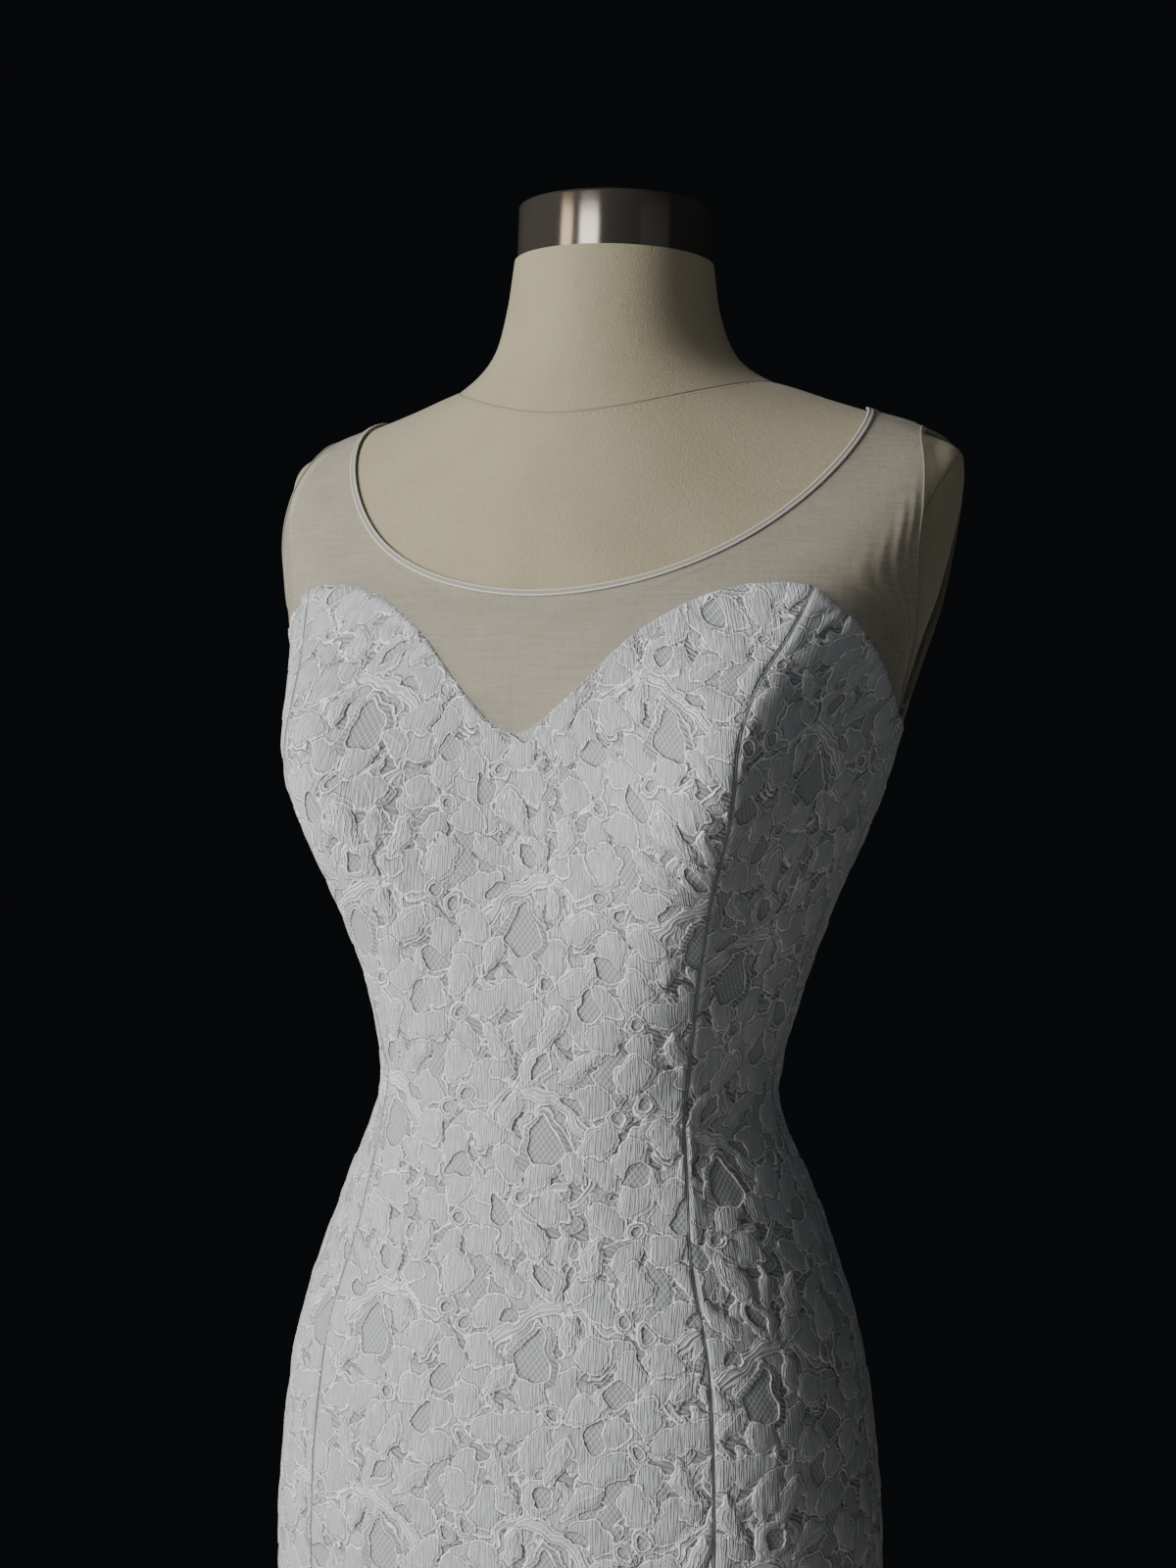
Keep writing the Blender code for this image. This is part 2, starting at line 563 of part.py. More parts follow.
def make_stand():
    low = BODY_RINGS[0].front_z + FIT_GAP
    high = low + CAP_HEIGHT
    arc = [math.radians(angle) for angle in (0, 30, 60, 90)]
    rounded = CAP_RADIUS - CAP_ROUNDING
    cap = [(0, high + 0.0015), (rounded * 0.6, high + 0.0010)]
    cap += [
        (rounded + CAP_ROUNDING * math.sin(a), high - CAP_ROUNDING * (1 - math.cos(a))) for a in arc
    ]
    cap += [(CAP_RADIUS, low + 0.0006), (CAP_RADIUS - 0.0006, low), (0, low)]
    turned("neck_cap", cap, CHROME)
    top = FORM_BOTTOM - FIT_GAP
    socket = [(0, top), (SOCKET_RADIUS, top), (SOCKET_RADIUS, top - SOCKET_HEIGHT * 0.4)]
    socket += [(POLE_RADIUS + 0.004, top - SOCKET_HEIGHT), (0, top - SOCKET_HEIGHT)]
    turned("form_socket", socket, STEEL, 32)
    pole_top = top - SOCKET_HEIGHT - FIT_GAP
    pole_foot = HUB_HEIGHT + FIT_GAP
    pole = [(0, pole_top), (POLE_RADIUS, pole_top), (POLE_RADIUS, pole_foot), (0, pole_foot)]
    turned("stand_pole", pole, STEEL, 32)
    edge = BASE_THICKNESS / 3
    base = [(0, HUB_HEIGHT), (POLE_RADIUS + 0.004, HUB_HEIGHT), (HUB_RADIUS, BASE_THICKNESS)]
    base += [(BASE_RADIUS - edge, BASE_THICKNESS), (BASE_RADIUS, BASE_THICKNESS - edge)]
    base += [(BASE_RADIUS, 0), (0, 0)]
    turned("stand_base", base, STEEL)


def zip_hinge():
    """The axis of the pull: level along X, just clear of the slider's face on the centre back."""
    top = surface(GOWN_TABLE, math.pi, NECK_BACK)
    near = lifted(GOWN_TABLE, math.pi, NECK_BACK - np.linspace(0, 2 * ZIP_DROP, 12), EASE + MESH_WALL)
    face = near[:, 1].max() + SEAM_GAP
    return np.array([0.0, face + SLIDER_THICK + EYE_RADIUS + FIT_GAP, top[2] - ZIP_DROP]), face


def extruded(bm, outline, x_low, x_high):
    """A prism along X over an outline of (y, z) points."""
    rows = [[bm.verts.new((x, y, z)) for y, z in outline] for x in (x_low, x_high)]
    loft_faces(bm, rows, True)
    bm.faces.new(rows[0])
    bm.faces.new(rows[1])


def disc(centre_y, centre_z, radius, count=12):
    angles = [2 * math.pi * (k + 0.5) / count for k in range(count)]
    return [(centre_y + radius * math.cos(a), centre_z + radius * math.sin(a)) for a in angles]


def prism_object(name, finish, outline, x_low, x_high, origin):
    bm = bmesh.new()
    extruded(bm, outline, x_low, x_high)
    return finished(name, bm, finish, origin)


def join(target, other):
    """Fuses a helper solid into the target with a Boolean, and leaves the helper out of the part."""
    union = target.modifiers.new(f"with_{other.name}", "BOOLEAN")
    union.operation = "UNION"
    union.object = other
    collection.objects.unlink(other)
    cutters.objects.link(other)
    other.hide_render = True
    other.display_type = "WIRE"


def make_zip():
    hinge, face = zip_hinge()
    back = face - hinge[1]
    front = back + SLIDER_THICK
    body = [(back, -SLIDER_DOWN), (back, SLIDER_UP), (front - 0.0006, SLIDER_UP), (front, SLIDER_UP - 0.0006)]
    body += [(front, -SLIDER_DOWN + 0.0008), (front - 0.0008, -SLIDER_DOWN)]
    slider = prism_object("zip_slider", ZIP_METAL, body, -SLIDER_HALF_WIDTH, SLIDER_HALF_WIDTH, hinge)
    inside = PULL_HALF_WIDTH + FIT_GAP
    lug = disc(0, 0, LUG_RADIUS)
    foot = [(y, z) for y, z in lug if y >= 0] + [(front - 0.0006, LUG_RADIUS), (front - 0.0006, -LUG_RADIUS)]
    foot = sorted(foot, key=lambda place: math.atan2(place[1], place[0] + 0.0004))
    for side in (-1, 1):
        ends = sorted((side * inside, side * (inside + LUG_WIDTH)))
        join(slider, prism_object(f"lug_{'left' if side > 0 else 'right'}", ZIP_METAL, foot, *ends, hinge))
    reach = inside + LUG_WIDTH / 2
    join(slider, prism_object("hinge_pin", ZIP_METAL, disc(0, 0, PIN_RADIUS, 8), -reach, reach, hinge))

    # The pull hangs from its eye: a barrel with a hole, and a tapered leaf below it
    bm = bmesh.new()
    rings = []
    for radius in (EYE_RADIUS, EYE_HOLE):
        for x in (-PULL_HALF_WIDTH, PULL_HALF_WIDTH):
            rings.append([bm.verts.new((x, y, z)) for y, z in disc(0, 0, radius)])
    outer_low, outer_high, hole_low, hole_high = rings
    loft_faces(bm, [outer_low, outer_high, hole_high, hole_low], True, closed_columns=True)
    pull = finished("zip_pull", bm, ZIP_METAL, hinge)
    bm = bmesh.new()
    thick = PULL_THICK / 2
    rows = []
    for drop, half_width in (
        (EYE_RADIUS * 0.75, PULL_HALF_WIDTH),
        (PULL_LENGTH * 0.45, PULL_HALF_WIDTH * 1.25),
        (PULL_LENGTH * 0.80, PULL_END_HALF_WIDTH),
        (PULL_LENGTH * 0.94, PULL_END_HALF_WIDTH * 0.85),
        (PULL_LENGTH, PULL_END_HALF_WIDTH * 0.45),
    ):
        corners = ((-1, -1), (1, -1), (1, 1), (-1, 1))
        rows.append([bm.verts.new((x * half_width, y * thick, -drop)) for x, y in corners])
    loft_faces(bm, rows, True)
    bm.faces.new(rows[0])
    bm.faces.new(rows[-1])
    join(pull, finished("pull_leaf", bm, ZIP_METAL, hinge))


for old in list(bpy.data.objects):
    bpy.data.objects.remove(old, do_unlink=True)
collection = bpy.data.collections.new("wedding_gown_on_form")
cutters = bpy.data.collections.new("joined_helpers")
bpy.context.scene.collection.children.link(collection)
bpy.context.scene.collection.children.link(cutters)
make_form()
make_stand()
make_panels()
make_yokes()
make_bindings()
make_zip()
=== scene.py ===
import math
from collections import namedtuple

import bmesh
import bpy
import numpy as np
from mathutils import Matrix, Vector


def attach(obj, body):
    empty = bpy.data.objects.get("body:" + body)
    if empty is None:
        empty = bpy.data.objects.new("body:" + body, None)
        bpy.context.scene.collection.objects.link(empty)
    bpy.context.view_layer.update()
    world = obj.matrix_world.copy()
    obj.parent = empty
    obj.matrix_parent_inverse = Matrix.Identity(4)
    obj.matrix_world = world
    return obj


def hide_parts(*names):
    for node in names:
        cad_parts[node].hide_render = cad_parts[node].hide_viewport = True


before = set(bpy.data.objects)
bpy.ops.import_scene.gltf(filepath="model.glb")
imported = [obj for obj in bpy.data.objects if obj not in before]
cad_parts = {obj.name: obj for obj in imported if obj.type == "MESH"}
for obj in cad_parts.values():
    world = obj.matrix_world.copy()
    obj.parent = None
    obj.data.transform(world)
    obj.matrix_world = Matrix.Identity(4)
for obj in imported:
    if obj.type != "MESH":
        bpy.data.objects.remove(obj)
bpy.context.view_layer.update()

bpy.ops.object.select_all(action="DESELECT")
print("stage: frame loaded,", len(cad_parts), "nodes")

# What a user may change, for the whole piece. Metres unless a name says otherwise
gownSizes = {
    "clothLift": 0.0022,      # outer face of the lace over the form's outline
    "clothWall": 0.0016,
    "meshLift": 0.0011,
    "meshWall": 0.0004,
    "hem": 0.015,
    "reliefMm": 1.0,          # how proud the motifs stand
    "reliefSunk": 0.6,        # the share of it that lies below the cloth's lift
    "fineFrom": 0.760,        # above this height the cloth's grid is finer
    "fineRow": 0.00165,
    "coarseRow": 0.0031,
    "innerStep": 5,           # the lining's grid has one cell for this many of the lace's
}

Ring = namedtuple(
    "Ring",
    "name frontZ sideZ backZ halfWidth frontY sideY backY bluntSide bluntFront bluntBack",
)


def levelRing(name, z, *rest):
    return Ring(name, z, z, z, *rest)


bodyRings = [
    levelRing("neckTop", 1.4890, 0.0535, -0.0530, 0.0000, 0.0530, 1.00, 1.00, 1.00),
    Ring("neckMid", 1.4600, 1.4620, 1.4640, 0.0575, -0.0565, 0.0020, 0.0580, 1.00, 1.00, 1.00),
    Ring("neckLow", 1.4300, 1.4400, 1.4480, 0.0660, -0.0590, 0.0060, 0.0680, 1.00, 1.00, 1.00),
    Ring("neckSeam", 1.4000, 1.4265, 1.4360, 0.0840, -0.0640, 0.0100, 0.0780, 1.00, 0.95, 1.00),
    Ring("collar", 1.3720, 1.4200, 1.4240, 0.1030, -0.0730, 0.0110, 0.0870, 1.00, 0.85, 0.95),
    Ring("yoke", 1.3500, 1.4130, 1.4080, 0.1230, -0.0805, 0.0110, 0.0940, 1.02, 0.75, 0.90),
    Ring("neckline", 1.3300, 1.4060, 1.3900, 0.1450, -0.0870, 0.0110, 0.0985, 1.05, 0.66, 0.85),
    Ring("strap", 1.3140, 1.3985, 1.3700, 0.1680, -0.0915, 0.0110, 0.1025, 1.10, 0.60, 0.80),
    Ring("shoulder", 1.3010, 1.3880, 1.3500, 0.1905, -0.0955, 0.0100, 0.1045, 1.16, 0.56, 0.75),
    Ring("tip", 1.2900, 1.3740, 1.3300, 0.1945, -0.1015, 0.0070, 0.1050, 1.20, 0.56, 0.75),
    Ring("plateTop", 1.2790, 1.3540, 1.3100, 0.1925, -0.1055, 0.0030, 0.1045, 1.22, 0.60, 0.80),
    Ring("plate", 1.2650, 1.3180, 1.2850, 0.1840, -0.1085, 0.0010, 0.1035, 1.22, 0.72, 0.90),
    Ring("plateLow", 1.2500, 1.2800, 1.2600, 0.1715, -0.1110, -0.0030, 0.1020, 1.20, 0.88, 1.00),
    Ring("armpit", 1.2350, 1.2450, 1.2380, 0.1620, -0.1125, -0.0055, 0.1000, 1.16, 1.00, 1.08),
    levelRing("bust", 1.2150, 0.1540, -0.1130, -0.0070, 0.0965, 1.12, 1.10, 1.10),
    levelRing("underbust", 1.1500, 0.1300, -0.1115, -0.0130, 0.0820, 1.06, 1.08, 1.10),
    levelRing("midriff", 1.1000, 0.1150, -0.1085, -0.0180, 0.0680, 1.02, 1.05, 1.08),
    levelRing("waist", 1.0550, 0.1060, -0.1045, -0.0200, 0.0600, 1.00, 1.04, 1.06),
    levelRing("highHip", 0.9900, 0.1285, -0.1100, -0.0110, 0.0800, 1.02, 1.08, 1.10),
    levelRing("belly", 0.9300, 0.1480, -0.1170, -0.0090, 0.0980, 1.06, 1.12, 1.10),
    levelRing("hip", 0.8600, 0.1590, -0.1180, -0.0065, 0.1090, 1.10, 1.12, 1.10),
    levelRing("seat", 0.8000, 0.1625, -0.1150, -0.0045, 0.1100, 1.10, 1.10, 1.08),
]
skirtRings = [
    levelRing("thighHigh", 0.7300, 0.1610, -0.1130, -0.0010, 0.1120, 1.08, 1.08, 1.06),
    levelRing("thigh", 0.6500, 0.1550, -0.1100, 0.0020, 0.1120, 1.05, 1.05, 1.04),
    levelRing("aboveKnee", 0.5800, 0.1490, -0.1090, 0.0040, 0.1130, 1.03, 1.03, 1.02),
    levelRing("knee", 0.5000, 0.1470, -0.1120, 0.0060, 0.1180, 1.02, 1.02, 1.01),
    levelRing("belowKnee", 0.4200, 0.1570, -0.1240, 0.0080, 0.1340, 1.01, 1.01, 1.00),
    levelRing("calf", 0.3200, 0.1850, -0.1540, 0.0120, 0.1740, 1.00, 1.00, 1.00),
    levelRing("shin", 0.2100, 0.2310, -0.2020, 0.0180, 0.2400, 1.00, 1.00, 1.00),
    levelRing("ankle", 0.1000, 0.2830, -0.2520, 0.0250, 0.3180, 1.00, 1.00, 1.00),
    levelRing("hem", 0.0150, 0.3200, -0.2860, 0.0300, 0.3720, 1.00, 1.00, 1.00),
]
bust = {"turn": math.radians(36), "spread": math.radians(19), "height": 1.2165,
        "above": 0.062, "below": 0.095, "out": 0.038, "aim": math.radians(24)}
Flute = namedtuple("Flute", "waves shift share")
flutes = [Flute(9, 0.35, 0.70), Flute(5, -0.80, 0.30)]
fluteTop, fluteDepth = 0.520, 0.019

# Edges and seams: turn from the centre front in degrees against the ring's level
Point = namedtuple("Point", "name turn level")
neckEdgeLevels = {"front": 1.3045, "shoulder": 1.3340, "back": 1.2900, "curve": 1.6}
laceEdgePoints = [
    Point("v", 0.0, 1.2335), Point("vSide", 3.0, 1.2375), Point("rise", 7.0, 1.2505),
    Point("cupIn", 13.5, 1.2780), Point("cupRise", 19.0, 1.2885), Point("cupTop", 25.5, 1.2918),
    Point("cupOut", 34.0, 1.2857), Point("cupFall", 44.5, 1.2715), Point("sideFront", 57.0, 1.2590),
    Point("frontUnderarm", 72.0, 1.2482), Point("underarm", 90.0, 1.2385),
    Point("sideBack", 115.0, 1.2360), Point("centreBack", 180.0, 1.2330),
]
armholePoints = [
    Point("shoulder", 90.0, 1.3130), Point("frontTop", 76.5, 1.3095), Point("frontHigh", 65.6, 1.3010),
    Point("front", 62.6, 1.2890), Point("frontLow", 64.7, 1.2745), Point("frontUnder", 73.8, 1.2620),
    Point("frontCorner", 84.5, 1.2525), Point("underFront", 88.0, 1.2440), Point("under", 92.0, 1.2397),
    Point("underBack", 98.0, 1.2410), Point("backCorner", 106.0, 1.2500), Point("backLow", 114.0, 1.2650),
    Point("back", 117.0, 1.2800), Point("backHigh", 112.0, 1.2980), Point("backTop", 101.0, 1.3100),
]
cornerTurns = {"front": 87.0, "back": 99.0}
frontPrincess = [
    Point("hem", 35.0, 0.0150), Point("knee", 35.0, 0.5000), Point("thigh", 38.0, 0.7000),
    Point("hip", 40.5, 0.8600), Point("belly", 42.3, 0.9300), Point("highHip", 43.0, 0.9900),
    Point("waistLow", 47.5, 1.0300), Point("waist", 49.8, 1.0600), Point("midriff", 47.5, 1.1000),
    Point("underbust", 43.5, 1.1500), Point("underApex", 41.0, 1.2000), Point("apex", 37.6, 1.2290),
    Point("overApex", 36.6, 1.2480), Point("cup", 38.0, 1.2680), Point("edge", 40.5, 1.3000),
]
sideSeam = [Point("hem", 90.0, 0.0150), Point("underarm", 92.0, 1.3000)]
backPrincess = [
    Point("hem", 142.0, 0.0150), Point("knee", 142.0, 0.5000), Point("hip", 140.0, 0.8600),
    Point("waist", 136.0, 1.0550), Point("underbust", 131.0, 1.1500), Point("edge", 129.0, 1.3000),
]


def smoothBetween(places, values, wanted):
    slopes = np.zeros_like(values)
    runs = np.diff(places)
    rises = np.diff(values, axis=0) / runs[:, None]
    weights = (runs[1:] + runs[:-1])[:, None]
    slopes[1:-1] = (rises[:-1] * runs[1:, None] + rises[1:] * runs[:-1, None]) / weights
    slopes[0], slopes[-1] = rises[0], rises[-1]
    wanted = np.clip(np.asarray(wanted, float), places[0], places[-1])
    k = np.clip(np.searchsorted(places, wanted, side="right") - 1, 0, len(places) - 2)
    run = runs[k][..., None]
    t = (wanted - places[k])[..., None] / run
    low = (2 * t**3 - 3 * t**2 + 1) * values[k] + (t**3 - 2 * t**2 + t) * run * slopes[k]
    high = (3 * t**2 - 2 * t**3) * values[k + 1] + (t**3 - t**2) * run * slopes[k + 1]
    return low + high


def ringTable(rings):
    numbers = np.array([ring[1:] for ring in reversed(rings)], float)
    return numbers[:, 0], numbers


formTable = ringTable(bodyRings)
gownTable = ringTable(bodyRings[:-1] + skirtRings)


def surfaceAt(turn, level, table=gownTable):
    turn, level = np.broadcast_arrays(np.asarray(turn, float), np.asarray(level, float))
    ring = Ring("", *np.moveaxis(smoothBetween(*table, level), -1, 0))
    sine, cosine = np.sin(turn), np.cos(turn)
    ahead = np.abs(cosine)
    inFront = cosine > 0
    blunt = np.where(inFront, ring.bluntFront, ring.bluntBack)
    endY = np.where(inFront, ring.frontY, ring.backY)
    endZ = np.where(inFront, ring.frontZ, ring.backZ)
    x = ring.halfWidth * (ring.bluntSide * sine + (1 - ring.bluntSide) * sine**3)
    y = ring.sideY + (endY - ring.sideY) * (blunt * ahead + (1 - blunt) * ahead**3)
    z = ring.sideZ + (endZ - ring.sideZ) * ahead**2
    reach = np.where(z > bust["height"], bust["above"], bust["below"])
    around = np.abs(np.arctan2(sine, cosine)) - bust["turn"]
    out = np.exp(-(((z - bust["height"]) / reach) ** 2)) * np.exp(-((around / bust["spread"]) ** 2))
    out = bust["out"] * out
    x = x + np.sign(sine) * np.minimum(1.0, np.abs(sine) / 0.3) * out * math.sin(bust["aim"])
    y = y - out * math.cos(bust["aim"])
    low = np.clip((fluteTop - z) / (fluteTop - gownSizes["hem"]), 0.0, 1.0)
    wave = sum(flute.share * np.cos(flute.waves * turn + flute.shift) for flute in flutes)
    swell = 1 + fluteDepth * low**1.6 * wave / np.maximum(0.1, np.hypot(x, y))
    return np.stack([x * swell, y * swell, z], -1)


def slopesAt(turn, level, table=gownTable, step=1e-4):
    across = surfaceAt(turn + step, level, table) - surfaceAt(turn - step, level, table)
    up = surfaceAt(turn, level + step, table) - surfaceAt(turn, level - step, table)
    return across / (2 * step), up / (2 * step)


def outwardAt(turn, level, table=gownTable):
    normal = np.cross(*slopesAt(turn, level, table))
    return normal / np.linalg.norm(normal, axis=-1, keepdims=True)


def curveValue(points, wanted, by="level"):
    turns = np.radians([point.turn for point in points])
    levels = np.array([point.level for point in points])
    places, values = (levels, turns) if by == "level" else (turns, levels)
    return smoothBetween(places, values[:, None], wanted)[..., 0]


def laceEdge(turn):
    return curveValue(laceEdgePoints, np.abs(turn), by="turn")


def neckEdge(turn):
    n = neckEdgeLevels
    share = np.abs(turn) / (math.pi / 2)
    front = n["front"] + (n["shoulder"] - n["front"]) * np.minimum(share, 1) ** n["curve"]
    back = n["back"] + (n["shoulder"] - n["back"]) * np.clip(2 - share, 0, 1) ** n["curve"]
    return np.where(share <= 1, front, back)


def closedCurve(points, shares):
    # turns and levels at shares of the way round a closed line of points
    rows = points + [points[0]]
    wrapped = rows[-3:-1] + rows + rows[1:3]
    places = np.arange(-2, len(rows) + 2, dtype=float)
    values = np.array([[row.turn, row.level] for row in wrapped])
    found = smoothBetween(places, values, np.asarray(shares, float) * (len(rows) - 1))
    return np.radians(found[..., 0]), found[..., 1]


def soft(low, high, value):
    t = np.clip((value - low) / (high - low), 0.0, 1.0)
    return t * t * (3 - 2 * t)


def fading(away, run):   # 1 at an edge, and gone by the run's end
    return np.clip(1 - away / run, 0.0, 1.0) ** 2


# Shader maths
class Signal:
    def __init__(self, recipe, socket):
        self.recipe, self.socket = recipe, socket

    def maths(self, operation, *others):
        return self.recipe.value("ShaderNodeMath", {"operation": operation}, self, *others)

    def __add__(self, other): return self.maths("ADD", other)
    def __radd__(self, other): return self.maths("ADD", other)
    def __sub__(self, other): return self.maths("SUBTRACT", other)
    def __rsub__(self, other):
        return self.recipe.value("ShaderNodeMath", {"operation": "SUBTRACT"}, other, self)

    def __mul__(self, other): return self.maths("MULTIPLY", other)
    def __rmul__(self, other): return self.maths("MULTIPLY", other)
    def __truediv__(self, other): return self.maths("DIVIDE", other)
    def __neg__(self): return self.maths("MULTIPLY", -1.0)
    def __abs__(self): return self.maths("ABSOLUTE")

    def most(self, other): return self.maths("MAXIMUM", other)
    def least(self, other): return self.maths("MINIMUM", other)
    def sine(self): return self.maths("SINE")

    def eased(self, low, high):   # 0 below low, 1 above high, smooth between
        settings = {"interpolation_type": "SMOOTHSTEP"}
        return self.recipe.value("ShaderNodeMapRange", settings, self, low, high, 0.0, 1.0)

    def line(self, halfWidth, fade):   # 1 where the value is near 0
        return 1 - abs(self).eased(halfWidth, halfWidth + fade)


class Recipe:
    def __init__(self, name):
        self.material = bpy.data.materials.new(name)
        self.material.use_nodes = True
        self.tree = self.material.node_tree
        self.shader = self.tree.nodes["Principled BSDF"]

    def node(self, kind, settings, *sockets, named=None):
        made = self.tree.nodes.new(kind)
        for key, value in settings.items():
            setattr(made, key, value)
        pairs = list(zip(made.inputs, sockets))
        pairs += [(made.inputs[key], value) for key, value in (named or {}).items()]
        for socket, value in pairs:
            if isinstance(value, Signal):
                self.tree.links.new(value.socket, socket)
            elif value is not None:
                socket.default_value = value
        return made

    def value(self, kind, settings, *sockets, output=0, named=None):
        return Signal(self, self.node(kind, settings, *sockets, named=named).outputs[output])

    def attribute(self, name):
        return self.value("ShaderNodeAttribute", {"attribute_name": name}, output=2)

    def clothPlace(self):
        split = self.node("ShaderNodeSeparateXYZ", {}, self.value("ShaderNodeUVMap", {"uv_map": "cloth"}))
        return Signal(self, split.outputs[0]), Signal(self, split.outputs[1])

    def place(self):
        split = self.node("ShaderNodeSeparateXYZ", {}, self.value("ShaderNodeTexCoord", {}, output=3))
        return [Signal(self, socket) for socket in split.outputs]

    def joined(self, x, y, z=0.0):
        return self.value("ShaderNodeCombineXYZ", {}, x, y, z)

    def noise(self, where, scale, detail=2.0, roughness=0.5):
        named = {"Scale": scale, "Detail": detail, "Roughness": roughness}
        return self.value("ShaderNodeTexNoise", {}, where, named=named)

    def blend(self, share, first, second):
        made = self.tree.nodes.new("ShaderNodeMix")
        made.data_type = "RGBA"
        for index, value in ((0, share), (6, first), (7, second)):
            if isinstance(value, Signal):
                self.tree.links.new(value.socket, made.inputs[index])
            elif index == 0:
                made.inputs[0].default_value = value
            else:
                made.inputs[index].default_value = (*value, 1.0)
        return Signal(self, made.outputs[2])

    def shaded(self, colour, factor):   # a colour darkened by a value
        return self.value("ShaderNodeVectorMath", {"operation": "SCALE"}, colour, named={"Scale": factor})

    def finish(self, constants, **varying):
        for name, value in constants.items():
            self.shader.inputs[name].default_value = value
        for name, value in varying.items():
            self.tree.links.new(value.socket, self.shader.inputs[name.replace("_", " ")])
        return self.material

    def bump(self, height, strength=1.0, distance=0.001):
        named = {"Height": height, "Strength": strength, "Distance": distance}
        return self.value("ShaderNodeBump", {}, named=named)


# Meshes
def meshPiece(name, verts, faces, materials, smooth=True, sharpDegrees=40):
    mesh = bpy.data.meshes.new(name)
    mesh.from_pydata([tuple(v) for v in verts], [], faces)
    mesh.update()
    piece = bpy.data.objects.new(name, mesh)
    bpy.context.scene.collection.objects.link(piece)
    for material in materials:
        mesh.materials.append(material)
    if smooth:
        mesh.shade_smooth()
        mesh.set_sharp_from_angle(angle=math.radians(sharpDegrees))
    return piece


def gridFaces(index, flip=False):
    a, b, c, d = index[:-1, :-1], index[:-1, 1:], index[1:, 1:], index[1:, :-1]
    return np.stack([a, d, c, b] if flip else [a, b, c, d], -1).reshape(-1, 4)


def numbered(rows, columns, first=0):
    return first + np.arange(rows * columns).reshape(rows, columns)


def layFlat(piece, flat):   # each point's place on the flat cloth, which the finishes read
    corner = np.empty(len(piece.data.loops), np.int32)
    piece.data.loops.foreach_get("vertex_index", corner)
    layer = piece.data.uv_layers.new(name="cloth")
    layer.data.foreach_set("uv", flat[corner].astype(np.float32).ravel())


def layValues(piece, name, values):
    made = piece.data.attributes.new(name, "FLOAT", "POINT")
    made.data.foreach_set("value", values.astype(np.float32).ravel())


def sheetArea(points):
    diagonals = np.cross(points[1:, 1:] - points[:-1, :-1], points[1:, :-1] - points[:-1, 1:])
    return float((np.linalg.norm(diagonals, axis=-1) / 2).sum())


def outwardFacing(piece):
    # turns the faces of a closed mesh outwards if they point in
    bm = bmesh.new()
    bm.from_mesh(piece.data)
    bmesh.ops.recalc_face_normals(bm, faces=bm.faces)
    bm.to_mesh(piece.data)
    bm.free()
    return piece


def stripFaces(fine, coarse, step, flip):
    # triangles between a fine edge and a coarse one, with a point at every step-th fine point
    found = []
    for k in range(len(coarse) - 1):
        first, last = k * step, min((k + 1) * step, len(fine) - 1)
        middle = (first + last) // 2
        for j in range(first, last):
            found.append((coarse[k] if j < middle else coarse[k + 1], fine[j], fine[j + 1]))
        found.append((coarse[k], fine[middle], coarse[k + 1]))
    return [face[::-1] for face in found] if flip else found


# The lace's repeat, charted in millimetres about the node of its spray, x across and y up.
# Each row is a shape: kind, tier (later tiers cover earlier ones), place, length, width, tilt in
# degrees, and tone, which is 1 for plain cloth, less for net, and least for rungs
tierRise = {"under": 0.20, "lower": 0.36, "stem": 0.50, "middle": 0.54, "upper": 0.74, "spray": 0.88}
Shape = namedtuple("Shape", "kind tier x y length width tilt tone")
repeatMm = {"across": 92.0, "up": 105.0, "rowShift": -6.5, "oddShift": 22.5}
sprayShapes = [
    Shape("leaf", "spray", 18.0, 31.0, 27.0, 12.0, 65, 0.9),
    Shape("leaf", "spray", 31.5, 12.5, 27.0, 11.0, 38, 0.8),
    Shape("leaf", "spray", -12.0, 23.5, 24.0, 10.5, 112, 0.9),
    Shape("leaf", "upper", 10.0, 11.5, 23.0, 16.5, 55, 1.0),
    Shape("leaf", "spray", -3.5, -12.0, 22.0, 10.0, 80, 0.9),
    Shape("petal", "upper", -8.5, 8.5, 12.4, 11.6, 130, 0.8),
    Shape("leaf", "upper", 2.5, 29.0, 19.0, 9.0, 88, 0.7),
]
flowerPetals = [
    Shape("petal", "upper", -35.0, 9.5, 21.8, 16.9, 92, 1.0),
    Shape("petal", "middle", -20.0, 0.0, 20.6, 15.0, 24, 0.7),
    Shape("petal", "upper", -19.0, -20.5, 20.6, 15.0, -38, 0.9),
    Shape("petal", "middle", -35.5, -29.0, 20.6, 15.0, -88, 0.8),
    Shape("petal", "upper", -50.5, -23.0, 20.6, 15.4, -140, 1.0),
    Shape("petal", "middle", -54.0, -5.0, 21.8, 16.0, 168, 0.8),
    Shape("ring", "upper", -30.5, -5.0, 11.0, 11.0, 0, 0.4),
    Shape("ring", "upper", -41.5, -12.0, 11.0, 11.0, 0, 0.4),
]
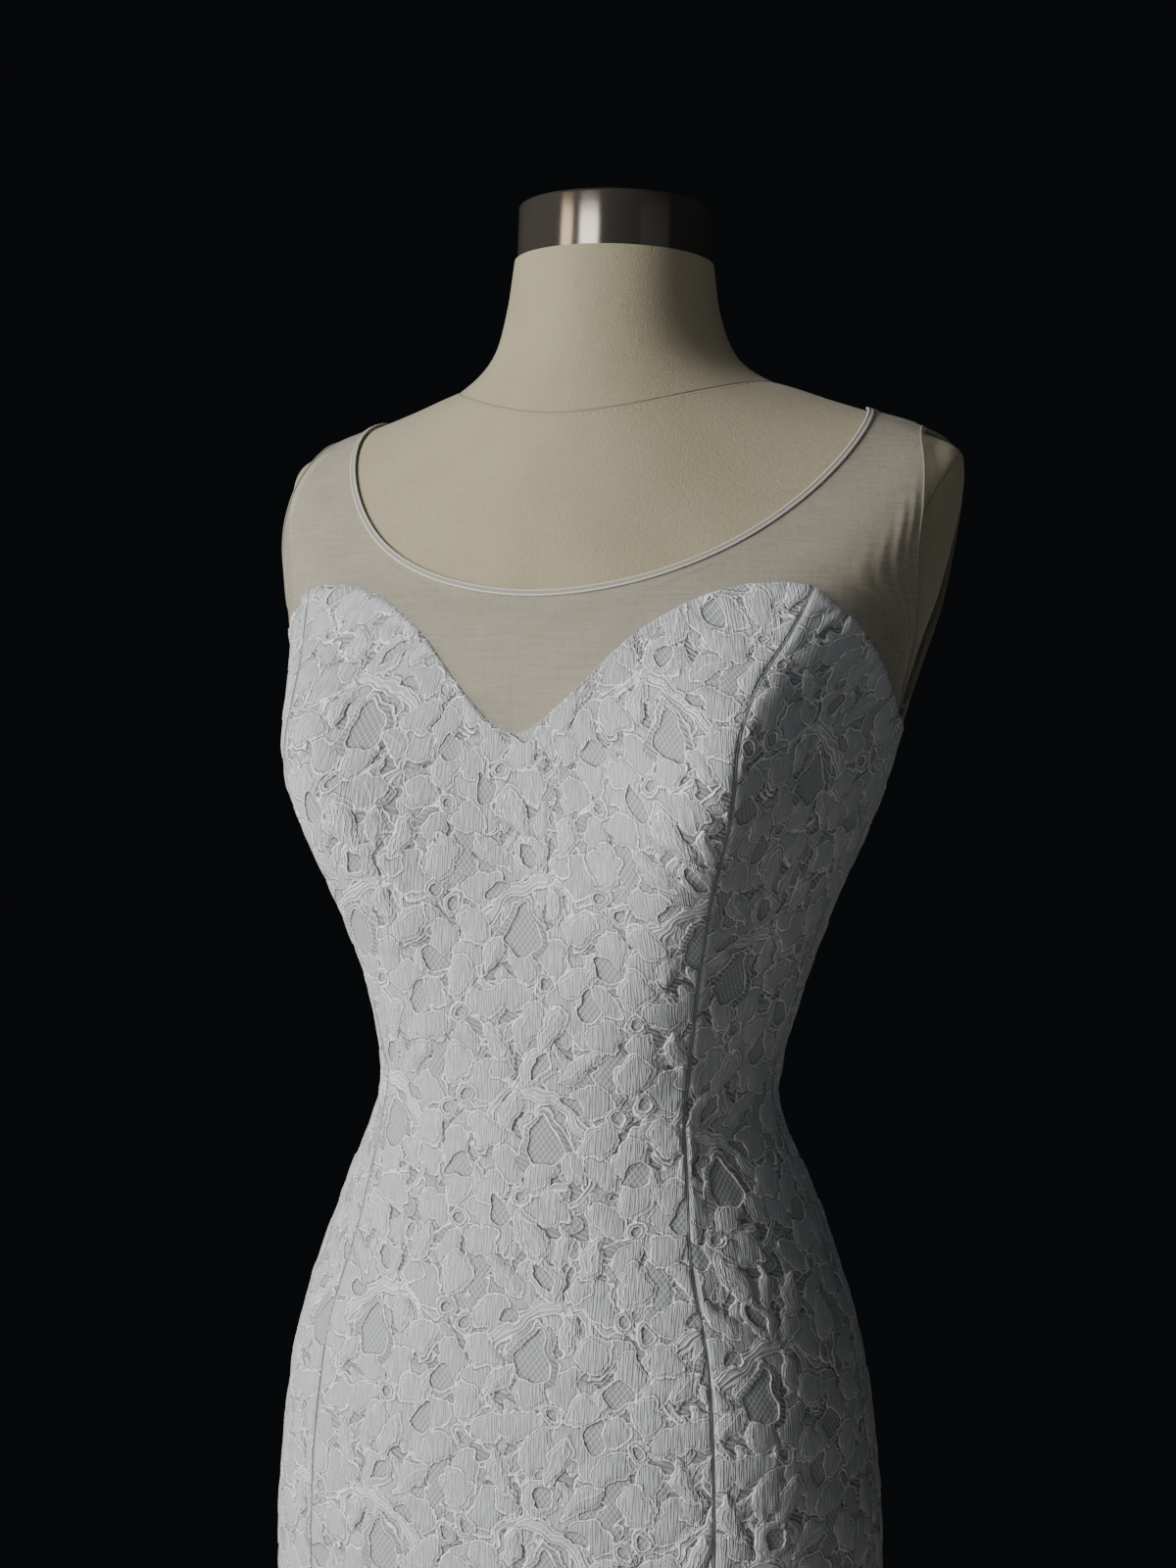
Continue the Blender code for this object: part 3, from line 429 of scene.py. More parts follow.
underPetals = [
    Shape("ring", "upper", 2.5, -52.0, 10.0, 10.0, 0, 0.4),
    Shape("petal", "upper", 12.0, -43.5, 18.8, 13.9, 44, 0.9),
    Shape("petal", "middle", -3.5, -39.5, 19.3, 13.9, 112, 0.8),
    Shape("petal", "upper", -12.5, -49.5, 19.3, 15.0, 172, 1.0),
    Shape("petal", "middle", -8.5, -64.0, 19.3, 13.9, 232, 0.7),
    Shape("petal", "upper", 7.5, -67.0, 19.3, 13.9, 288, 0.9),
    Shape("petal", "middle", 18.0, -57.5, 20.6, 15.0, -18, 0.8),
    Shape("ring", "upper", -33.5, 38.0, 10.0, 10.0, 0, 0.4),
    Shape("petal", "middle", -21.0, 42.5, 19.3, 13.9, 22, 0.8),
    Shape("petal", "upper", -31.5, 53.5, 20.6, 15.4, 84, 0.9),
    Shape("petal", "middle", -47.5, 46.5, 20.6, 15.0, 146, 0.9),
    Shape("petal", "upper", -47.0, 30.0, 19.3, 14.5, 212, 0.8),
    Shape("petal", "middle", -30.5, 24.5, 19.3, 13.5, 280, 0.7),
    Shape("petal", "middle", 36.0, 31.0, 19.3, 15.0, 70, 1.0),
    Shape("petal", "middle", 41.0, -36.0, 20.6, 13.9, -50, 0.9),
    Shape("leaf", "upper", 29.0, -37.0, 20.0, 10.0, -60, 0.8),
    Shape("leaf", "upper", -24.0, -42.5, 17.0, 9.0, -70, 0.9),
    Shape("petal", "middle", 24.0, 46.5, 19.3, 13.9, 120, 0.8),
    Shape("leaf", "middle", 8.0, 45.5, 18.0, 9.5, 75, 0.8),
    Shape("petal", "middle", -13.0, 7.0, 19.3, 15.0, 160, 0.6),
    Shape("drop", "middle", 13.5, -25.5, 37.0, 28.0, 98, 0.1),
]
netWindows = [
    Shape("drop", "window", 13.0, -24.0, 27.0, 18.0, 98, 0),
    Shape("leaf", "window", 11.0, 12.5, 14.5, 7.5, 55, 0),
    Shape("ring", "window", -30.5, -5.0, 6.2, 6.2, 0, 0),
    Shape("ring", "window", -41.5, -12.0, 6.2, 6.2, 0, 0),
    Shape("ring", "window", 2.5, -52.0, 5.4, 5.4, 0, 0),
    Shape("ring", "window", -33.5, 38.0, 5.4, 5.4, 0, 0),
    Shape("drop", "window", -32.0, -41.0, 16.0, 12.0, 200, 0),
    Shape("leaf", "window", 27.0, -6.5, 14.0, 6.0, -25, 0),
    Shape("drop", "window", 36.5, 45.0, 17.0, 11.0, 75, 0),
]
Stem = namedtuple("Stem", "width points")
stems = [
    Stem(6.4, [(0, 0), (8, -1.2), (17, -4.2), (26, -10.5), (34, -19.5), (38, -27.0)]),
    Stem(2.6, [(0, 0), (-8, -1.5), (-13, -7.0), (-14.5, -13.0)]),
    Stem(2.6, [(0, 0), (1.5, 9.0), (2.5, 20.0)]),
    Stem(2.4, [(0, 0), (-6, 4.0), (-11, 13.0)]),
    Stem(2.6, [(38, -27), (40, -38), (36, -49), (29, -56)]),
    Stem(2.4, [(19, 44), (14, 54), (3, 60)]),
]
fillPetals = {"pitch": 12.2, "jitter": 3.6, "length": 22.0, "width": 14.5, "lean": 65, "spread": 60,
              "seed": 11, "firstRow": -52.0, "leafFrom": 0.55, "smallFrom": 0.88, "small": 0.6,
              "leafSlim": 0.72, "sizes": (0.70, 1.12), "slims": (0.75, 1.05),
              "tones": [0.1, 0.3, 0.3, 0.6, 0.75, 0.9, 1.0]}


def fillShapes():
    # lower petals, strewn under the charted ones so that little bare net is left
    p = fillPetals
    chance = np.random.default_rng(p["seed"])
    acrossCount = round(repeatMm["across"] / p["pitch"])
    upCount = round(repeatMm["up"] / p["pitch"])
    found = []
    for i in range(upCount):
        for j in range(acrossCount):
            x = (j + 0.5 * (i % 2)) * repeatMm["across"] / acrossCount
            y = i * repeatMm["up"] / upCount + p["firstRow"]
            dx, dy = chance.uniform(-1, 1, 2) * p["jitter"]
            draw = chance.uniform()
            kind = "petal" if draw < p["leafFrom"] or draw > p["smallFrom"] else "leaf"
            size = chance.uniform(*p["sizes"]) * (1.0 if draw < p["smallFrom"] else p["small"])
            slim = chance.uniform(*p["slims"]) * (p["leafSlim"] if kind == "leaf" else 1.0)
            length, width = p["length"] * size, p["width"] * size * slim
            tilt, tone = chance.normal(p["lean"], p["spread"]), chance.choice(p["tones"])
            tier = ("lower", "under")[(i + j) % 2]
            found.append(Shape(kind, tier, x + dx, y + dy, length, width, tilt, tone))
    return found


def shapeDistance(shape, x, y):
    # about the shape's middle: how far inside its outline a place lies in mm, its share along the
    # shape, and its distance from the shape's long axis
    turn = math.radians(shape.tilt)
    along = x * math.cos(turn) + y * math.sin(turn)
    across = -x * math.sin(turn) + y * math.cos(turn)
    a, b = shape.length / 2, shape.width / 2
    if shape.kind == "leaf":   # pointed at both ends and a little bowed
        across = across - 0.20 * b * (1 - (along / a) ** 2)
        radius = (a * a + b * b) / (2 * b)
        inside = radius - np.hypot(along, np.abs(across) + radius - b) + 0.30 * np.sin(along * 1.3 + shape.x)
    elif shape.kind == "ring":
        inside = a - np.hypot(along, across)
    elif shape.kind == "drop":   # round at the near end, pointed at the far end of its length
        low, tip = b, 0.9
        reach = shape.length - low - tip
        px, py = np.abs(across), along + a - low
        share = (low - tip) / reach
        rest = math.sqrt(1 - share * share)
        k = px * -share + py * rest
        below, beyond = np.hypot(px, py) - low, np.hypot(px, py - reach) - tip
        inside = -np.where(k < 0, below, np.where(k > rest * reach, beyond, px * rest + py * share - low))
    else:   # a fan with a scalloped outer edge
        angle, away = np.arctan2(across, along), np.hypot(across, along)
        edge = a * b / np.sqrt((b * np.cos(angle)) ** 2 + (a * np.sin(angle)) ** 2)
        outer = soft(-0.6, 0.2, np.cos(angle))
        lobe = np.abs(np.cos((2.5 + 0.4 * math.sin(shape.x)) * angle + 0.7 * math.sin(shape.y))) ** 0.55
        edge = edge * (1 + 0.15 * np.cos(angle)) * (1 + outer * 0.26 * (lobe - 0.75))
        edge = edge + 1.0 * (np.abs(np.sin(angle * a / 2.3 + shape.x)) ** 0.6 - 0.72)
        inside = edge - away
    return inside, along / a, across


def stemDistance(stem, x, y):
    nearest = np.full(x.shape, 1e3)
    for (x0, y0), (x1, y1) in zip(stem.points, stem.points[1:]):
        dx, dy = x1 - x0, y1 - y0
        share = np.clip(((x - x0) * dx + (y - y0) * dy) / (dx * dx + dy * dy), 0, 1)
        nearest = np.minimum(nearest, np.hypot(x - x0 - share * dx, y - y0 - share * dy))
    return stem.width / 2 - nearest


def nearestCopy(x, y, middleX, middleY):
    # the place seen from the nearest copy of a shape; every second row is shifted and mirrored
    row = np.round((y - middleY) / repeatMm["up"])
    odd = np.mod(row, 2)
    shifted = x - repeatMm["rowShift"] * row - repeatMm["oddShift"] * odd
    shifted = np.where(odd > 0.5, -shifted, shifted) - middleX
    half = repeatMm["across"] / 2
    return np.mod(shifted + half, repeatMm["across"]) - half, y - middleY - row * repeatMm["up"]


def laceFields(x, y):
    # signed distances of each tier at places on the flat lace, all in millimetres
    # the cloth never lies quite square: a slow, uneven pull of the pattern
    x, y = (x + 1.2 * np.sin(0.29 * y + 1.3 * np.sin(0.11 * x)) + 0.55 * np.sin(0.63 * y + 0.21 * x),
            y + 1.2 * np.sin(0.27 * x + 1.1 * np.sin(0.13 * y)) + 0.55 * np.sin(0.57 * x - 0.25 * y))
    far = -8.0
    fields = {tier: np.full(x.shape, far) for tier in (*tierRise, "window")}
    fields["tone"] = np.full(x.shape, 0.1)
    fields["vein"] = np.full(x.shape, 9.0)
    fields["lift"] = np.zeros(x.shape)
    order = sorted(fillShapes() + underPetals + flowerPetals + sprayShapes + netWindows,
                   key=lambda shape: list(fields).index(shape.tier))
    for shape in order:
        dx, dy = nearestCopy(x, y, shape.x, shape.y)
        near = (np.abs(dx) < shape.length / 2 + 9) & (np.abs(dy) < shape.length / 2 + 9)
        inside, share, across = shapeDistance(shape, dx[near], dy[near])
        tier = fields[shape.tier]
        tier[near] = np.maximum(tier[near], inside)
        if shape.tier == "window":
            continue
        vein = across if shape.kind == "leaf" else 9.0
        for key, value in (("tone", shape.tone), ("vein", vein), ("lift", share)):
            fields[key][near] = np.where(inside > 0, value, fields[key][near])
    for stem in stems:
        middleX = sum(p[0] for p in stem.points) / len(stem.points)
        middleY = sum(p[1] for p in stem.points) / len(stem.points)
        dx, dy = nearestCopy(x, y, middleX, middleY)
        near = (np.abs(dx) < 40) & (np.abs(dy) < 40)
        inside = stemDistance(stem, dx[near] + middleX, dy[near] + middleY)
        fields["stem"][near] = np.maximum(fields["stem"][near], inside)
    return fields


def reliefOf(fields):
    # height of the cloth's face over the ground, as a share of reliefMm
    height = np.zeros(fields["window"].shape)
    inside = np.full(height.shape, -8.0)
    for tier, rise in tierRise.items():
        body = rise * soft(-0.6, 0.8, fields[tier]) + 0.35 * rise * soft(0.5, 5.5, fields[tier])
        height = np.maximum(height, body + 0.10 * np.exp(-(((fields[tier] - 0.3) / 0.9) ** 2)))
        inside = np.maximum(inside, fields[tier])
    height = height + 0.30 * fields["lift"] * soft(-0.2, 1.0, inside)
    return height * (1 - 0.9 * soft(-0.8, 1.0, fields["window"]))


# Main creases: turn in degrees, height, half length along, half width, tilt from
# level in degrees, rise in mm
Crease = namedtuple("Crease", "turn level length width tilt rise")
creases = [
    Crease(-38, 1.075, 0.045, 0.0075, 12, 1.1), Crease(-40, 1.056, 0.050, 0.0065, -4, -1.1),
    Crease(-44, 1.034, 0.046, 0.0070, -16, 0.9), Crease(34, 1.068, 0.034, 0.0070, -10, 0.9),
    Crease(30, 1.049, 0.040, 0.0065, 6, -0.9), Crease(62, 1.060, 0.040, 0.0075, 10, 1.1),
    Crease(66, 1.040, 0.042, 0.0070, -6, -1.0), Crease(60, 1.100, 0.030, 0.0080, 32, 0.8),
    Crease(52, 1.150, 0.024, 0.0060, 62, 0.8), Crease(8, 1.036, 0.050, 0.0080, 3, 0.6),
    Crease(-14, 1.165, 0.030, 0.0080, 70, 0.7), Crease(15, 1.160, 0.030, 0.0080, -66, 0.7),
    Crease(-52, 1.165, 0.030, 0.0065, -50, 0.8), Crease(-60, 0.905, 0.055, 0.0110, 14, 0.9),
    Crease(58, 0.890, 0.060, 0.0120, -12, 0.9), Crease(72, 0.965, 0.040, 0.0090, -24, 0.7),
    Crease(-10, 0.845, 0.070, 0.0130, 5, 0.7), Crease(24, 0.810, 0.060, 0.0120, -10, 0.8),
    Crease(118, 1.062, 0.042, 0.0075, 8, 1.2), Crease(121, 1.040, 0.048, 0.0070, -5, -1.1),
    Crease(150, 1.078, 0.038, 0.0075, 14, 1.1), Crease(154, 1.052, 0.046, 0.0070, 3, -1.1),
    Crease(148, 1.026, 0.044, 0.0080, -12, 1.0), Crease(-120, 1.066, 0.044, 0.0080, -10, 1.1),
    Crease(-123, 1.044, 0.046, 0.0070, 5, -1.1), Crease(-151, 1.072, 0.040, 0.0075, -9, 1.1),
    Crease(-149, 1.046, 0.044, 0.0070, 6, -1.0), Crease(-153, 1.018, 0.046, 0.0085, 14, 0.9),
    Crease(140, 0.760, 0.060, 0.0120, -14, 1.0), Crease(-142, 0.775, 0.058, 0.0120, 12, 1.0),
    Crease(168, 0.735, 0.050, 0.0110, 8, 0.8), Crease(-20, 0.520, 0.060, 0.0130, 12, 1.2),
    Crease(25, 0.545, 0.060, 0.0120, -14, 1.2), Crease(70, 0.510, 0.050, 0.0130, 10, 1.3),
    Crease(-75, 0.530, 0.050, 0.0130, -10, 1.2), Crease(125, 0.520, 0.055, 0.0130, 14, 1.3),
    Crease(-130, 0.500, 0.055, 0.0130, -12, 1.3), Crease(170, 0.540, 0.050, 0.0120, -8, 1.1),
]


def creaseHeight(turns, levels, radius=0.125):
    height = np.zeros(turns.shape)
    for crease in creases:
        offset = turns - math.radians(crease.turn)
        offset = np.arctan2(np.sin(offset), np.cos(offset)) * radius
        rise = levels - crease.level
        tilt = math.radians(crease.tilt)
        along = offset * math.cos(tilt) + rise * math.sin(tilt)
        across = -offset * math.sin(tilt) + rise * math.cos(tilt) - 6.0 * along**2
        height += crease.rise * 1e-3 * np.exp(-((along / crease.length) ** 2) - (across / crease.width) ** 2)
    return height


# Each panel: its seams, columns, how its lace lies (turn in degrees, slide in mm), and the plain
# strip pressed beside a seam in mm
Panel = namedtuple("Panel", "name first last columns fine grain slideX slideY pressed")
seamTurn = {"ridge": 0.0008, "ridgeRun": 0.013, "fall": 0.0012, "fallRun": 0.020,   # over the front seams
            "fallEnd": (0.030, 0.075), "levels": (0.90, 1.02)}
turnedEdge = {"seam": 0.0003, "pressedRun": 0.0008, "plainRun": 0.0030, "top": 0.0009, "topRun": 0.0018,
              "hem": 0.0006, "hemRun": 0.0020, "roll": 0.0003, "rollAt": 0.0035, "rollWidth": 0.0026,
              "seamGap": 0.00015, "pressedOver": 1.0}   # metres, but the last in mm


def seamLine(points, side=1):
    return lambda level: side * curveValue(points, level)


def backLine(side):
    return lambda level: np.full(np.shape(level), side * math.pi)


frontLeft, frontRight = seamLine(frontPrincess), seamLine(frontPrincess, -1)
sideLeft, sideRight = seamLine(sideSeam), seamLine(sideSeam, -1)
backLeft, backRight = seamLine(backPrincess), seamLine(backPrincess, -1)
panels = [
    Panel("centre_front", frontRight, frontLeft, 150, 1.0, 0.0, -5.0, 0.0, 1.2),
    Panel("side_front_left", frontLeft, sideLeft, 84, 1.0, 5.0, 31.0, 22.0, 0.3),
    Panel("side_front_right", sideRight, frontRight, 80, 1.05, -4.0, -22.0, 8.0, 0.3),
    Panel("side_back_left", sideLeft, backLeft, 68, 1.25, 3.0, 12.0, -17.0, 0.7),
    Panel("side_back_right", backRight, sideRight, 68, 1.25, -3.5, 40.0, 27.0, 0.7),
    Panel("centre_back_left", backLeft, backLine(1), 66, 1.25, 1.5, 5.0, 11.0, 2.0),
    Panel("centre_back_right", backLine(-1), backRight, 66, 1.25, -1.0, -9.0, 14.0, 2.0),
]
underbustLevel = 1.150
seamShares = np.array([0.0, 0.0030, 0.0080])   # closer columns beside a seam


def evenRows(low, high, step):
    return np.linspace(low, high, max(2, round((high - low) / step)), endpoint=False)


def panelGrid(panel):
    step = gownSizes["innerStep"]
    share = np.linspace(seamShares[-1], 1 - seamShares[-1], math.ceil(panel.columns / step) * step - 3)
    share = np.concatenate([seamShares[:-1], share, 1 - seamShares[-2::-1]])
    topLevels = np.full(share.shape, underbustLevel)
    for _ in range(4):
        topTurns = panel.first(topLevels) * (1 - share) + panel.last(topLevels) * share
        topLevels = laceEdge(topTurns)
    fine, coarse = gownSizes["fineRow"] * panel.fine, gownSizes["coarseRow"]
    below = np.concatenate([evenRows(gownSizes["hem"], gownSizes["fineFrom"], coarse),
                            evenRows(gownSizes["fineFrom"], underbustLevel, fine)])
    topCount = max(4, round((topLevels.max() - underbustLevel) / fine))
    topCount += -(len(below) + topCount) % step
    rise = np.linspace(0, 1, topCount + 1)[:, None]
    above = underbustLevel + (topLevels - underbustLevel) * rise
    levels = np.concatenate([below[:, None] + 0 * share, above])
    turns = panel.first(levels) * (1 - share) + panel.last(levels) * share
    turns[-1] = topTurns
    return turns, levels, share


def runLengths(points, axis):
    steps = np.linalg.norm(np.diff(points, axis=axis), axis=-1)
    start = np.zeros_like(np.take(points, [0], axis)[..., 0])
    return np.concatenate([start, np.cumsum(steps, axis=axis)], axis=axis)


def clothPlaces(panel, base, share):
    # where each point of the grid lies on the flat cloth, in metres
    across = runLengths(base, 1)
    across -= across[:, [across.shape[1] // 2]]
    up = runLengths(base, 0)
    waistRow = int(np.argmin(np.abs(base[:, 0, 2] - 1.0575)))
    up -= up[[waistRow]]
    turn = math.radians(panel.grain)
    return (across * math.cos(turn) - up * math.sin(turn) + panel.slideX * 1e-3,
            across * math.sin(turn) + up * math.cos(turn) + panel.slideY * 1e-3)


def seamBend(panel, acrossRun, fromSide, levels):
    # the cloth stands up along the front seams and falls away at once on their outer side
    s, high = seamTurn, soft(*seamTurn["levels"], levels)
    if panel.name == "centre_front":
        return s["ridge"] * fading(fromSide, s["ridgeRun"]) * high
    if not panel.name.startswith("side_front"):
        return 0.0 * levels
    front = acrossRun if panel.name.endswith("left") else acrossRun[:, [-1]] - acrossRun
    fall = (1 - fading(front, s["fallRun"])) * (1 - soft(*s["fallEnd"], front))
    return (s["ridge"] * fading(front, s["ridgeRun"]) - s["fall"] * fall) * high


def edgeFold(panel, fromSide, fromTop, fromHem):
    # how far the face turns in at its edges; where the allowances are pressed, the edge stands proud
    e = turnedEdge
    run = e["pressedRun"] if panel.pressed > e["pressedOver"] else e["plainRun"]
    fold = e["seam"] * (1 - soft(0, run, fromSide))
    fold = fold + e["top"] * (1 - soft(0, e["topRun"], fromTop)) ** 2
    fold = fold + e["hem"] * (1 - soft(0, e["hemRun"], fromHem)) ** 2
    return fold - e["roll"] * np.exp(-(((fromTop - e["rollAt"]) / e["rollWidth"]) ** 2))


def lacePanel(panel, outerFinish, liningFinish):
    turns, levels, share = panelGrid(panel)
    base, normal = surfaceAt(turns, levels), outwardAt(turns, levels)
    x, y = clothPlaces(panel, base, share)
    fields = laceFields(x * 1000, y * 1000)
    acrossRun, fromHem = runLengths(base, 1), runLengths(base, 0)
    fromSide = np.minimum(acrossRun, acrossRun[:, [-1]] - acrossRun)
    fromTop = fromHem[[-1]] - fromHem
    fields["seam"] = fromSide * 1000 - panel.pressed
    relief = reliefOf(fields) * soft(0.0004, 0.0032, fromTop) * soft(-0.6, 1.8, fields["seam"])
    relief = relief * soft(0.002, 0.006, fromHem)
    crease = creaseHeight(turns, levels) * soft(0.0, 0.012, fromTop)
    crease = crease + seamBend(panel, acrossRun, fromSide, levels)
    lift, reliefRise = gownSizes["clothLift"], gownSizes["reliefMm"] * 1e-3
    outerLift = lift + (relief - gownSizes["reliefSunk"]) * reliefRise + crease
    outerLift = outerLift - edgeFold(panel, fromSide, fromTop, fromHem)
    acrossSlope = slopesAt(turns, levels)[0]
    inset = turnedEdge["seamGap"] / np.linalg.norm(acrossSlope, axis=-1) * (1 - 2 * share)
    inset = inset * (1 - soft(0.0, 0.25, np.minimum(share, 1 - share)))
    base = base + acrossSlope * inset[..., None]
    outer = base + normal * outerLift[..., None]
    step = gownSizes["innerStep"]
    innerLift = (lift - gownSizes["clothWall"] + crease)[::step, ::step]
    inner = base[::step, ::step] + normal[::step, ::step] * innerLift[..., None]
    fine = numbered(*turns.shape)
    coarse = numbered(*inner.shape[:2], first=turns.size)
    outerFaces = gridFaces(fine)
    strips = stripFaces(fine[0], coarse[0], step, True) + stripFaces(fine[-1], coarse[-1], step, False)
    strips += stripFaces(fine[:, 0], coarse[:, 0], step, False)
    strips += stripFaces(fine[:, -1], coarse[:, -1], step, True)
    faces = outerFaces.tolist() + strips + gridFaces(coarse, flip=True).tolist()
    verts = np.concatenate([outer.reshape(-1, 3), inner.reshape(-1, 3)])
    piece = meshPiece(panel.name + "_lace", verts.tolist(), faces, [outerFinish, liningFinish])
    materialIndex = np.zeros(len(faces), np.int32)
    materialIndex[len(outerFaces) + len(strips):] = 1
    piece.data.polygons.foreach_set("material_index", materialIndex)

    def bothFaces(values):
        return np.concatenate([values.ravel(), values[::step, ::step].ravel()])

    layFlat(piece, np.stack([bothFaces(x), bothFaces(y)], -1))
    del fields["lift"]
    for name, values in fields.items():
        layValues(piece, "lace_" + name, bothFaces(values))
    size = (float(acrossRun[:, -1].max()), float(fromHem[-1].max()), sheetArea(base))
    print("  %s: widest %.3f, longest %.3f, area %.4f, %d faces" % (panel.name, *size, len(faces)))
    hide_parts(panel.name)
    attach(piece, "gown_on_form")


# Finishes
# ground and satin hold painted shade: the ground between motifs and the satin seen through the net are far
# darker than the satin lining's own colour, and stand in for the shade in those hollows. shadow is the
# strength of the painted shadow beside motif edges
laceLook = {"cloth": (0.57, 0.59, 0.61), "halfTone": (0.42, 0.44, 0.465), "cord": (0.96, 0.965, 0.97),
            "ground": (0.26, 0.275, 0.30), "satin": (0.34, 0.355, 0.375), "netPitchMm": 2.3, "shadow": 0.60}


def crossedNet(x, y, pitch):
    # 1 on the threads of a net worked in slanting squares
    k = 2 * math.pi / pitch
    aside, rise = x * (k * 0.80), y * (k * 0.60)
    return (aside + rise).sine().most((aside - rise).sine()).eased(0.45, 0.92)


def laceFinish():
    r, look = Recipe("corded_lace"), laceLook
    x, y = r.clothPlace()
    x, y = x * 1000, y * 1000
    field = {key: r.attribute("lace_" + key) for key in (*tierRise, "window", "tone", "vein", "seam")}
    tone = field["tone"]
    wander = (r.noise(r.joined(x, y), 0.34, 3.0, 0.55) - 0.5) * 1.4
    other = (r.noise(r.joined(y + 40, x), 0.36, 3.0, 0.55) - 0.5) * 1.4
    lace = (field["seam"] + wander * 0.3).eased(-0.2, 0.3)   # 0 on the plain strip pressed beside a seam
    window = field["window"] + other * 0.35
    inWindow = window.eased(-0.15, 0.2) * lace
    left = clear = lace - inWindow   # what no motif has covered yet, and what no cord has
    cords = (window + 0.35).line(0.36, 0.34) * (1 - window.eased(0.2, 0.5)) * lace
    # painted shadow: the colour is darkened just inside the edges of the net windows
    paintedEdgeShade = (1 - window.eased(0.2, 1.3)) * inWindow * 0.6
    height, cover, inStem = 0.0, 0.0, 0.0
    cordStrength = r.noise(r.joined(x * 0.11, y * 0.11), 1.0, 2.0).eased(0.35, 0.62)   # where the cords show more
    for number, tier in enumerate(reversed(tierRise)):   # from the top motifs down
        edge = field[tier] + (0.3 * wander if tier == "stem" else other if number % 2 else wander)
        inside = edge.eased(-0.18, 0.18) * left
        left = left - inside
        cords = cords.most(edge.line(0.40, 0.34) * clear * (1.0 if tier != "under" else 0.85))
        # painted shadow: the colour is darkened just outside this tier's edge, where no cord lies
        paintedEdgeShade = paintedEdgeShade.most((1 - (-edge).eased(0.5, 1.5)) * (1 - edge.eased(-0.5, -0.1)) * clear)
        clear = clear * (1 - edge.eased(-0.55, -0.1))
        height = (edge.eased(-0.6, 0.4) * (tierRise[tier] * 1.15) + edge.eased(0.0, 2.6) * 0.34).most(height)
        if tier == "stem":
            inStem = inside
        else:
            cover = inside + cover
        if tier in ("spray", "upper"):
            cords = cords.most((edge - 2.3).line(0.16, 0.34) * tone.eased(0.84, 0.88) * inside * 0.75)
    ribs = ((field["stem"] * 3.6 + 1.2).sine() * 0.5 + 0.5) * inStem
    veins = (field["vein"] + other * 0.5).line(0.22, 0.34) * cover * tone.eased(0.4, 0.5)
    streak = r.noise(r.joined(x * 1.25 + wander * 0.25, y * 0.085), 1.0, 1.0, 0.5).eased(0.36, 0.64)
    fine = r.noise(r.joined(x * 2.8, y * 1.2), 1.0, 2.0, 0.6)
    thread = crossedNet(x + wander * 0.3, y, look["netPitchMm"])
    slant = ((y * 2.5 + x * 0.9 + wander * 1.5).sine() * 0.5 + 0.5)
    sheer = 1 - tone.eased(0.38, 0.5)            # these motifs are worked as net
    rungs = 1 - tone.eased(0.15, 0.25)           # and these as rungs
    netted = cover * sheer * (1 - rungs) + inWindow
    laddered = cover * rungs + left
    worked = cover * (1 - sheer) + (1 - lace) * 0.6
    height = height * lace * (1 - window.eased(-0.5, 0.35) * 0.85)
    height = height + ribs * 0.34 + cords * 0.62 + veins * 0.30
    height = height + netted * (thread * 0.42 - 0.32) + laddered * (slant * 0.46 - 0.36)
    height = height + worked * (streak * 0.34 + fine * 0.12)
    cloth = r.blend((tone * 0.9 + fine * 0.2).least(1.0), look["halfTone"], look["cloth"])
    cloth = r.shaded(cloth, 0.84 + streak * 0.16)
    # the net's holes take the darkened satin and the ladder's gaps take the darkened ground: painted shade
    # behind the threads
    net = r.blend(thread, look["satin"], look["cloth"])
    ladder = r.blend(slant, look["ground"], look["halfTone"])
    colour = r.blend(netted, cloth, net)
    colour = r.blend(laddered, colour, ladder)
    # cords, stem rungs and veins are painted near white: partly the raised thread's own whiteness, partly
    # painted highlight for the light the raised cords catch
    colour = r.blend((cords * (0.66 + cordStrength * 0.34)).most(ribs * 0.6).most(veins * 0.5), colour, look["cord"])
    # the plain strip beside a seam is painted 16% darker: painted shade standing in for the relief shading of
    # the lace round it
    colour = r.shaded(colour, (1 - paintedEdgeShade * look["shadow"] * (1 - cords)) * (1 - (1 - lace) * 0.16))
    roughness = 0.70 - cords * 0.22 - netted * (1 - thread) * 0.34 - worked * streak * 0.08
    return r.finish({"Specular IOR Level": 0.4, "Sheen Weight": 0.08, "Sheen Roughness": 0.4},
                    Base_Color=colour, Roughness=roughness, Normal=r.bump(height, 1.0))


def satinFinish(name, colour, alongUv=True, streakScale=(2.2, 0.08), roughness=0.36):
    r = Recipe(name)
    x, y = r.clothPlace() if alongUv else r.place()[:2]
    streak = r.noise(r.joined(x * 1000 * streakScale[0], y * 1000 * streakScale[1]), 1.0, 2.0, 0.6)
    broad = r.noise(r.joined(x * 40, y * 40), 1.0, 2.0)
    tone = r.shaded(r.blend(broad.eased(0.3, 0.7), colour, [0.96 * c for c in colour]), 0.95 + streak * 0.08)
    return r.finish({"Specular IOR Level": 0.5, "Sheen Weight": 0.1}, Base_Color=tone,
                    Roughness=roughness + streak * 0.14, Normal=r.bump(streak, 0.5, 0.00012))


def pipingFinish():
    r = Recipe("neckline_piping_satin")
    around, run = r.clothPlace()
    ridge = (abs(around / 0.0007 - 5.5) - 2.9).line(0.7, 0.9)   # counted in the profile's points from its top
    twist = r.noise(r.joined(around * 900, run * 700), 1.0, 2.0, 0.6)
    # painted highlight and shade: the two crests of the profile are coloured lighter and the valley between
    # them darker
    colour = r.shaded(r.blend(ridge, (0.335, 0.315, 0.275), (0.60, 0.585, 0.545)), 0.92 + twist * 0.16)
    return r.finish({"Specular IOR Level": 0.45, "Sheen Weight": 0.15}, Base_Color=colour,
                    Roughness=0.42 + twist * 0.14, Normal=r.bump(twist * 0.4 + ridge * 0.5, 0.6, 0.0003))


